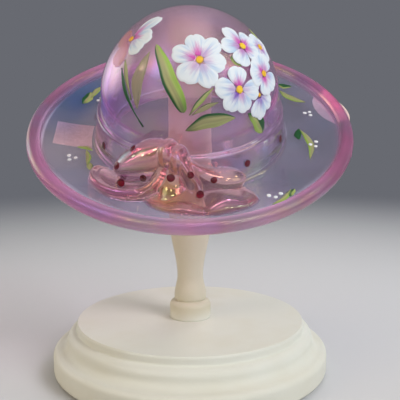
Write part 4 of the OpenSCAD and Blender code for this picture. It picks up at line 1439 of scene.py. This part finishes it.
# Sprigs on the brim: strokes from one azimuth and radius to another, each with its width and bend, the
# strength of its dark edge and of its light edge, then the places of the sprig's dots
SPRIGS = [
    ([(-174, 74, -160, 78, 3.4, 0.1, 0.6, 0.8), (-166, 76, -158, 70, 3.0, -0.1, 1.0, 0.4)],
     [(-168, 83), (-165, 84.5), (-166, 81.5)]),
    ([(-113, 77.5, -123, 80.5, 4.6, 0.05, 1.2, 0.5), (-119, 76.5, -132, 79.5, 2.8, -0.08, 0.5, 0.6)],
     [(-120.2, 71.4), (-123, 71.7), (-121.4, 69.6)]),
    ([(-58.8, 69.9, -71.8, 65.6, 2.4, 0.06, 0.2, 1.0), (-75, 70.4, -71, 62, 2.8, -0.16, 0.3, 1.0),
      (-60, 67.4, -54, 71, 2.8, 0.0, 0.6, 0.2)],
     [(-67.5, 76.9), (-64.2, 77.9), (-65.4, 73.8)]),
    ([(29.5, 90.4, 40.9, 85.1, 2.6, 0.1, 0.5, 1.0), (37.2, 90.4, 42, 86.2, 3.4, -0.1, 1.4, 0.6)],
     [(32.4, 81.2), (36.4, 84.2), (33.4, 85.2)]),
    ([(91, 68.7, 65.2, 77.8, 2.9, -0.1, 0.3, 1.0), (92, 68.3, 82, 67.6, 3.4, 0.06, 2.0, 0.2)],
     [(76.6, 74.9), (78.7, 78), (75, 78.2)]),
    ([(128.5, 76.8, 112, 81.4, 3.2, 0.07, 0.5, 0.7), (132.5, 81, 126, 84.4, 3.2, 0.08, 1.5, 0.4)],
     [(104, 76), (101, 78.4), (103.6, 79)]),
    ([(158, 78, 172, 74, 3.4, -0.1, 0.6, 0.8), (160, 70, 168, 76, 3.0, 0.1, 1.0, 0.4)],
     [(166, 83), (163, 84.5), (164, 81.5)]),
]


# How much wider than listed a sprig's strokes are laid, where they are widest and how blunt they are
SPRIG_SPREAD, SPRIG_WIDEST, SPRIG_BLUNT = 1.3, 1.0, 0.7


def on_brim(shape, x, y, lift):
    """Flat places laid on the brim and lifted off it."""
    return np.stack([x, y, shape.brim_z(np.hypot(x, y)) + lift], -1)


class BrimSprigs(bpy.types.Operator):
    """Paint the sprigs on the brim, each with its strokes and three white dots"""

    bl_idname = "glass_hat.brim_sprigs"
    bl_label = "Brim Sprigs"
    bl_options = {"REGISTER", "UNDO"}

    def execute(self, context):
        scene = context.scene
        shape, enamel, finishes = HatShape(scene.hat_sizes), scene.enamel_sizes, scene.finishes
        pattern = grid_piece("leaf", LEAF_ACROSS, LEAF_ALONG)
        drop = drop_pattern("dot", enamel.white_dot_radius, enamel.dot_height)
        upright = np.eye(3)
        leaves, dots = [], []
        for s, (strokes, spots) in enumerate(SPRIGS):
            for n, (from_a, from_r, to_a, to_r, width, bend, dark, light) in enumerate(strokes):
                start, stop = around(from_a, from_r * MM, 0)[:2], around(to_a, to_r * MM, 0)[:2]
                length = np.linalg.norm(stop - start)
                way = (stop - start) / length
                twin, run, side, height = blade(
                    pattern, length, SPRIG_SPREAD * width * MM, bend, s + 3 * n, enamel.coat,
                    SPRIG_WIDEST, SPRIG_BLUNT, (dark, light, s * 0.53 + n, 1.0),
                )
                middle = (start + stop) / 2
                x = middle[0] + run * way[0] + side * way[1]
                y = middle[1] + run * way[1] - side * way[0]
                move_corners(twin, on_brim(shape, x, y, height))
                leaves.append(twin)
            for k, (azimuth, radius) in enumerate(spots):
                x, y = around(azimuth, radius * MM, 0)[:2]
                size, turn = 1.08 - 0.06 * k, 50 * k + 20 * s
                dots.append(drop_copy(drop, on_brim(shape, x, y, 0), upright, size, turn))
        bpy.data.objects.remove(pattern)
        bpy.data.objects.remove(drop)
        green = get_material("leaf_enamel", leaf_enamel, finishes)
        white = get_material("white_drops", drop_enamel, finishes.dot_white, finishes.petal_white, 0.35)
        thick = enamel.coat + enamel.bite
        hat_layer(shape, "painted_brim_leaves", leaves, green, "brim_leaves", thick)
        hat_layer(shape, "white_brim_dots", dots, white, "brim_dots")
        return {"FINISHED"}


RIBBON_DOT_AZIMUTHS = (-160, -125, -90, -58, 34, 66, 100, 135, 170)
# Dots on the bow: azimuth and the point of the hat's line that they are pressed towards, as a share of the
# way from the crown to the lip. Those on the loop's edge lie flat on it, and the others face the front.
BOW_EDGE_DOTS = [(-31.1, 0.51), (-26.2, 0.301)]
BOW_DOTS = [(-30.4, 0.673), (-19.8, 0.542), (-7.9, 0.503), (11.4, 0.529), (4.9, 0.667), (0.7, 0.477)]
# How far a dot may follow the glass up or down from its middle
DOT_REACH = 3.5 * MM


class RibbonDots(bpy.types.Operator):
    """Set the dark dots on the ribbon band and the bow"""

    bl_idname = "glass_hat.ribbon_dots"
    bl_label = "Ribbon Dots"
    bl_options = {"REGISTER", "UNDO"}

    def execute(self, context):
        scene = context.scene
        shape, enamel, finishes = HatShape(scene.hat_sizes), scene.enamel_sizes, scene.finishes
        hat = scene.objects["glass_hat"]
        drop = drop_pattern("dot", enamel.ribbon_dot_radius, enamel.dot_height)
        face_top = np.array([shape.band_top_r, shape.band_top_z - shape.hat.band_roll])
        face_foot = np.array([shape.foot_r, shape.foot_z + shape.hat.band_fillet])
        middle = (face_top + face_foot) / 2
        _, zone = hat_line(shape)
        targets = [(a, tuple(middle), False) for a in RIBBON_DOT_AZIMUTHS]
        for from_front, marks in ((False, BOW_EDGE_DOTS), (True, BOW_DOTS)):
            targets += [(a, tuple(zone[round(t * (len(zone) - 1))]), from_front) for a, t in marks]
        front = Vector(scene.stage_sizes.camera_place)
        dots = []
        for n, (azimuth, spot, from_front) in enumerate(targets):
            eye = shape.place @ Vector(around(azimuth, MOULD_RADIUS, MOULD_HEIGHT))
            aim = shape.place @ Vector(around(azimuth, *spot))
            hit, place, outward, _ = hat.ray_cast(eye, (aim - eye).normalized())
            if not hit:
                raise RuntimeError(f"the ribbon dot at {azimuth} degrees misses the hat")
            facing = ((front if from_front else eye) - place).normalized()
            right = facing.cross(Vector((0, 0, 1))).normalized()
            axes = np.array([-right, facing.cross(-right), facing])
            dot = drop_copy(drop, (0, 0, 0), axes, 1 + 0.1 * math.sin(3 * n), 37 * n)
            self.lay(dot, hat, place, facing, outward)
            dots.append(dot)
        bpy.data.objects.remove(drop)
        piece = joined("maroon_ribbon_dots", dots)
        smooth(piece, SOFT_SMOOTH)
        shaded = tuple(0.5 * c for c in finishes.dot_maroon)
        maroon = get_material("maroon_drops", drop_enamel, finishes.dot_maroon, shaded, 0.2)
        finished(piece, "hat", maroon, "ribbon_dots")
        return {"FINISHED"}

    def lay(self, dot, hat, place, facing, outward):
        """Lays a dot on the glass, pressed on along the way that it faces."""
        laid = []
        for corner in corners(dot):
            spot = Vector(corner)
            height = spot.dot(facing)
            flat = place + spot - height * facing
            hit, ground, _, _ = hat.ray_cast(flat + DOT_REACH * facing, -facing)
            if not hit or abs((ground - flat).dot(facing)) > DOT_REACH:
                ground = flat - facing * ((flat - place).dot(outward) / facing.dot(outward))
            laid.append(ground + height * outward)
        move_corners(dot, laid)


# Stage

# Soft lamps as gloss and glass see them: the way towards each, its rim and core in degrees, its strength
GLOWS = [
    ((-0.75, -0.75, 0.84), 20, 4, 2.0), ((0.95, -0.55, 0.44), 20, 4, 1.6), ((0.1, -0.6, 0.75), 7, 2, 11.0),
    ((0.55, -0.8, 0.7), 6, 1.5, 11.0), ((-0.5, -0.8, 0.5), 5, 1.5, 10.0), ((0.35, -0.85, 0.3), 4, 1.0, 11.0),
    ((-0.1, -0.85, 0.5), 4, 1.0, 9.0), ((-0.8, -0.3, 0.5), 5, 1.0, 8.0), ((0.7, -0.2, 0.8), 5, 1.0, 8.0),
    ((-0.55, 0.83, 0.14), 16, 4, 0.6), ((-0.9, 0.3, 0.38), 24, 4, 1.4), ((-0.8, 0.55, 0.32), 22, 4, 1.1),
    ((0.85, 0.5, 0.2), 14, 4, 0.4),
]
# The way towards the pale side of the room, and where that side starts and is full
ROOM_FRONT, ROOM_FADE = (0, -0.9, 0.45), (0.1, 0.8)
# Lamps: name, place, size, and the settings with its power and its colour
LAMPS = [
    ("key_light", (0.85, -0.6, 0.95), 0.7, "key_power", "key_white"),
    ("fill_light", (-0.95, -0.55, 0.55), 0.8, "fill_power", "fill_warm"),
    ("back_light", (0.35, 0.95, 0.8), 0.8, "back_power", "key_white"),
]
LAMP_AIM = (0, 0, 0.11)
WHITE = (1, 1, 1)
# The floor in metres: its radius, the width of its outer ring, and where it starts and ends to fade
FLOOR_RADIUS, FLOOR_RING, FLOOR_FADE = 6, 4.5, (0.18, 0.9)
# The camera's sensor in millimetres, and the nearest that it sees in metres
SENSOR_WIDTH, CLIP_START = 36, 0.01


def facing(tree, way, towards):
    """How squarely a way points towards another."""
    ways = {0: way, 1: Vector(towards).normalized()}
    return add(tree, "ShaderNodeVectorMath", ways, operation="DOT_PRODUCT").outputs["Value"]


class Stage(bpy.types.Operator):
    """Set the floor, the soft lights and the camera"""

    bl_idname = "glass_hat.stage"
    bl_label = "Stage"
    bl_options = {"REGISTER", "UNDO"}

    def execute(self, context):
        scene = context.scene
        stage, finishes = scene.stage_sizes, scene.finishes
        self.floor(finishes)
        self.room(scene, finishes, stage)
        for name, place, size, strength, tint in LAMPS:
            self.lamp(name, place, size, getattr(stage, strength), getattr(finishes, tint))
        camera = bpy.data.cameras.new("camera")
        camera.sensor_width = SENSOR_WIDTH
        camera.lens = stage.focal_length
        camera.clip_start = CLIP_START
        holder = bpy.data.objects.new("camera", camera)
        scene.collection.objects.link(holder)
        holder.location = stage.camera_place
        holder.rotation_euler = (stage.camera_pitch, 0, 0)
        scene.camera = holder
        scene.view_settings.view_transform = "Standard"
        return {"FINISHED"}

    def floor(self, finishes):
        """A wide pale floor that fades into the backdrop far from the object."""
        pick()
        bpy.ops.mesh.primitive_circle_add(vertices=96, radius=FLOOR_RADIUS, fill_type="NGON")
        piece = named("floor")
        bpy.ops.object.mode_set(mode="EDIT")
        bpy.ops.mesh.select_all(action="SELECT")
        bpy.ops.mesh.inset(thickness=FLOOR_RING)
        bpy.ops.object.mode_set(mode="OBJECT")
        material, tree = new_material("pale_floor")
        place = object_places(tree)
        far = add(tree, "ShaderNodeVectorMath", {0: place}, operation="LENGTH").outputs["Value"]
        matte = add(tree, "ShaderNodeBsdfPrincipled", {"Base Color": finishes.floor, "Roughness": 0.9})
        haze = add(tree, "ShaderNodeEmission", {"Color": finishes.backdrop, "Strength": 1.0})
        surface = add(
            tree, "ShaderNodeMixShader",
            {0: fade(tree, far, *FLOOR_FADE), 1: matte.outputs[0], 2: haze.outputs[0]},
        )
        coated(tree, surface.outputs[0])
        piece.data.materials.append(material)

    def room(self, scene, finishes, stage):
        """Light from all round, a backdrop for the camera, and a pale room with lamps for gloss."""
        world = bpy.data.worlds.new("room")
        scene.world = world
        world.use_nodes = True
        tree = world.node_tree
        tree.nodes.clear()
        light = add(tree, "ShaderNodeBackground", {"Color": WHITE, "Strength": stage.room_light})
        way = add(tree, "ShaderNodeTexCoord").outputs["Generated"]
        rays = add(tree, "ShaderNodeLightPath").outputs
        mirrored = minus(tree, 1.0, rays["Is Camera Ray"])
        pale = times(tree, fade(tree, facing(tree, way, ROOM_FRONT), *ROOM_FADE), mirrored)
        dome = blend(tree, pale, finishes.backdrop, finishes.room_front)
        plain = add(tree, "ShaderNodeBackground", {"Color": dome, "Strength": 1.0})
        glow = 0.0
        for towards, rim, core, strength in GLOWS:
            start, full = math.cos(math.radians(rim)), math.cos(math.radians(core))
            glow = plus(tree, fade(tree, facing(tree, way, towards), start, full, 0.0, strength), glow)
        glow = times(tree, glow, mirrored)
        lit = add(tree, "ShaderNodeBackground", {"Color": WHITE, "Strength": glow})
        seen = add(tree, "ShaderNodeAddShader", {0: plain.outputs[0], 1: lit.outputs[0]})
        bent = calc(tree, "MAXIMUM", rays["Is Glossy Ray"], rays["Is Transmission Ray"])
        looked_at = calc(tree, "MAXIMUM", rays["Is Camera Ray"], bent)
        both = add(tree, "ShaderNodeMixShader", {0: looked_at, 1: light.outputs[0], 2: seen.outputs[0]})
        add(tree, "ShaderNodeOutputWorld", {"Surface": both.outputs[0]})

    def lamp(self, name, place, size, power, tint):
        light = bpy.data.lights.new(name, "AREA")
        light.color = tint
        light.shape = "DISK"
        light.size = size
        light.energy = power
        holder = bpy.data.objects.new(name, light)
        bpy.context.scene.collection.objects.link(holder)
        holder.location = place
        aim = Vector(LAMP_AIM) - Vector(place)
        holder.rotation_euler = aim.to_track_quat("-Z", "Y").to_euler()
        holder.visible_glossy = False
        holder.visible_transmission = False


# Add-on

OPERATORS = (
    Stage, StandBase, Spindle, Felts, Fittings, GlassHat, Flowers, CrownLeaves, BrimSprigs, RibbonDots,
)


class GlassHatPanel(bpy.types.Panel):
    """Steps that build the glass hat and its stand"""

    bl_idname = "VIEW3D_PT_glass_hat"
    bl_label = "Glass Hat"
    bl_space_type = "VIEW_3D"
    bl_region_type = "UI"
    bl_category = "Glass Hat"

    def draw(self, context):
        for operator in OPERATORS:
            self.layout.operator(operator.bl_idname)
        for group in GROUPS:
            box = self.layout.box()
            settings = getattr(context.scene, group)
            for name in settings.__annotations__:
                box.prop(settings, name)


def register():
    for kind in (*GROUPS.values(), *OPERATORS, GlassHatPanel):
        bpy.utils.register_class(kind)
    for name, kind in GROUPS.items():
        setattr(bpy.types.Scene, name, PointerProperty(type=kind))


def unregister():
    for name in GROUPS:
        delattr(bpy.types.Scene, name)
    for kind in reversed((*GROUPS.values(), *OPERATORS, GlassHatPanel)):
        bpy.utils.unregister_class(kind)


def main():
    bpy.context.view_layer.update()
    register()
    bpy.ops.glass_hat.stage()
    bpy.ops.glass_hat.stand_base()
    bpy.ops.glass_hat.spindle()
    bpy.ops.glass_hat.felts()
    bpy.ops.glass_hat.fittings()
    bpy.ops.glass_hat.hat()
    bpy.ops.glass_hat.flowers()
    bpy.ops.glass_hat.crown_leaves()
    bpy.ops.glass_hat.brim_sprigs()
    bpy.ops.glass_hat.ribbon_dots()
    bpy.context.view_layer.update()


if __name__ == "__main__":
    main()
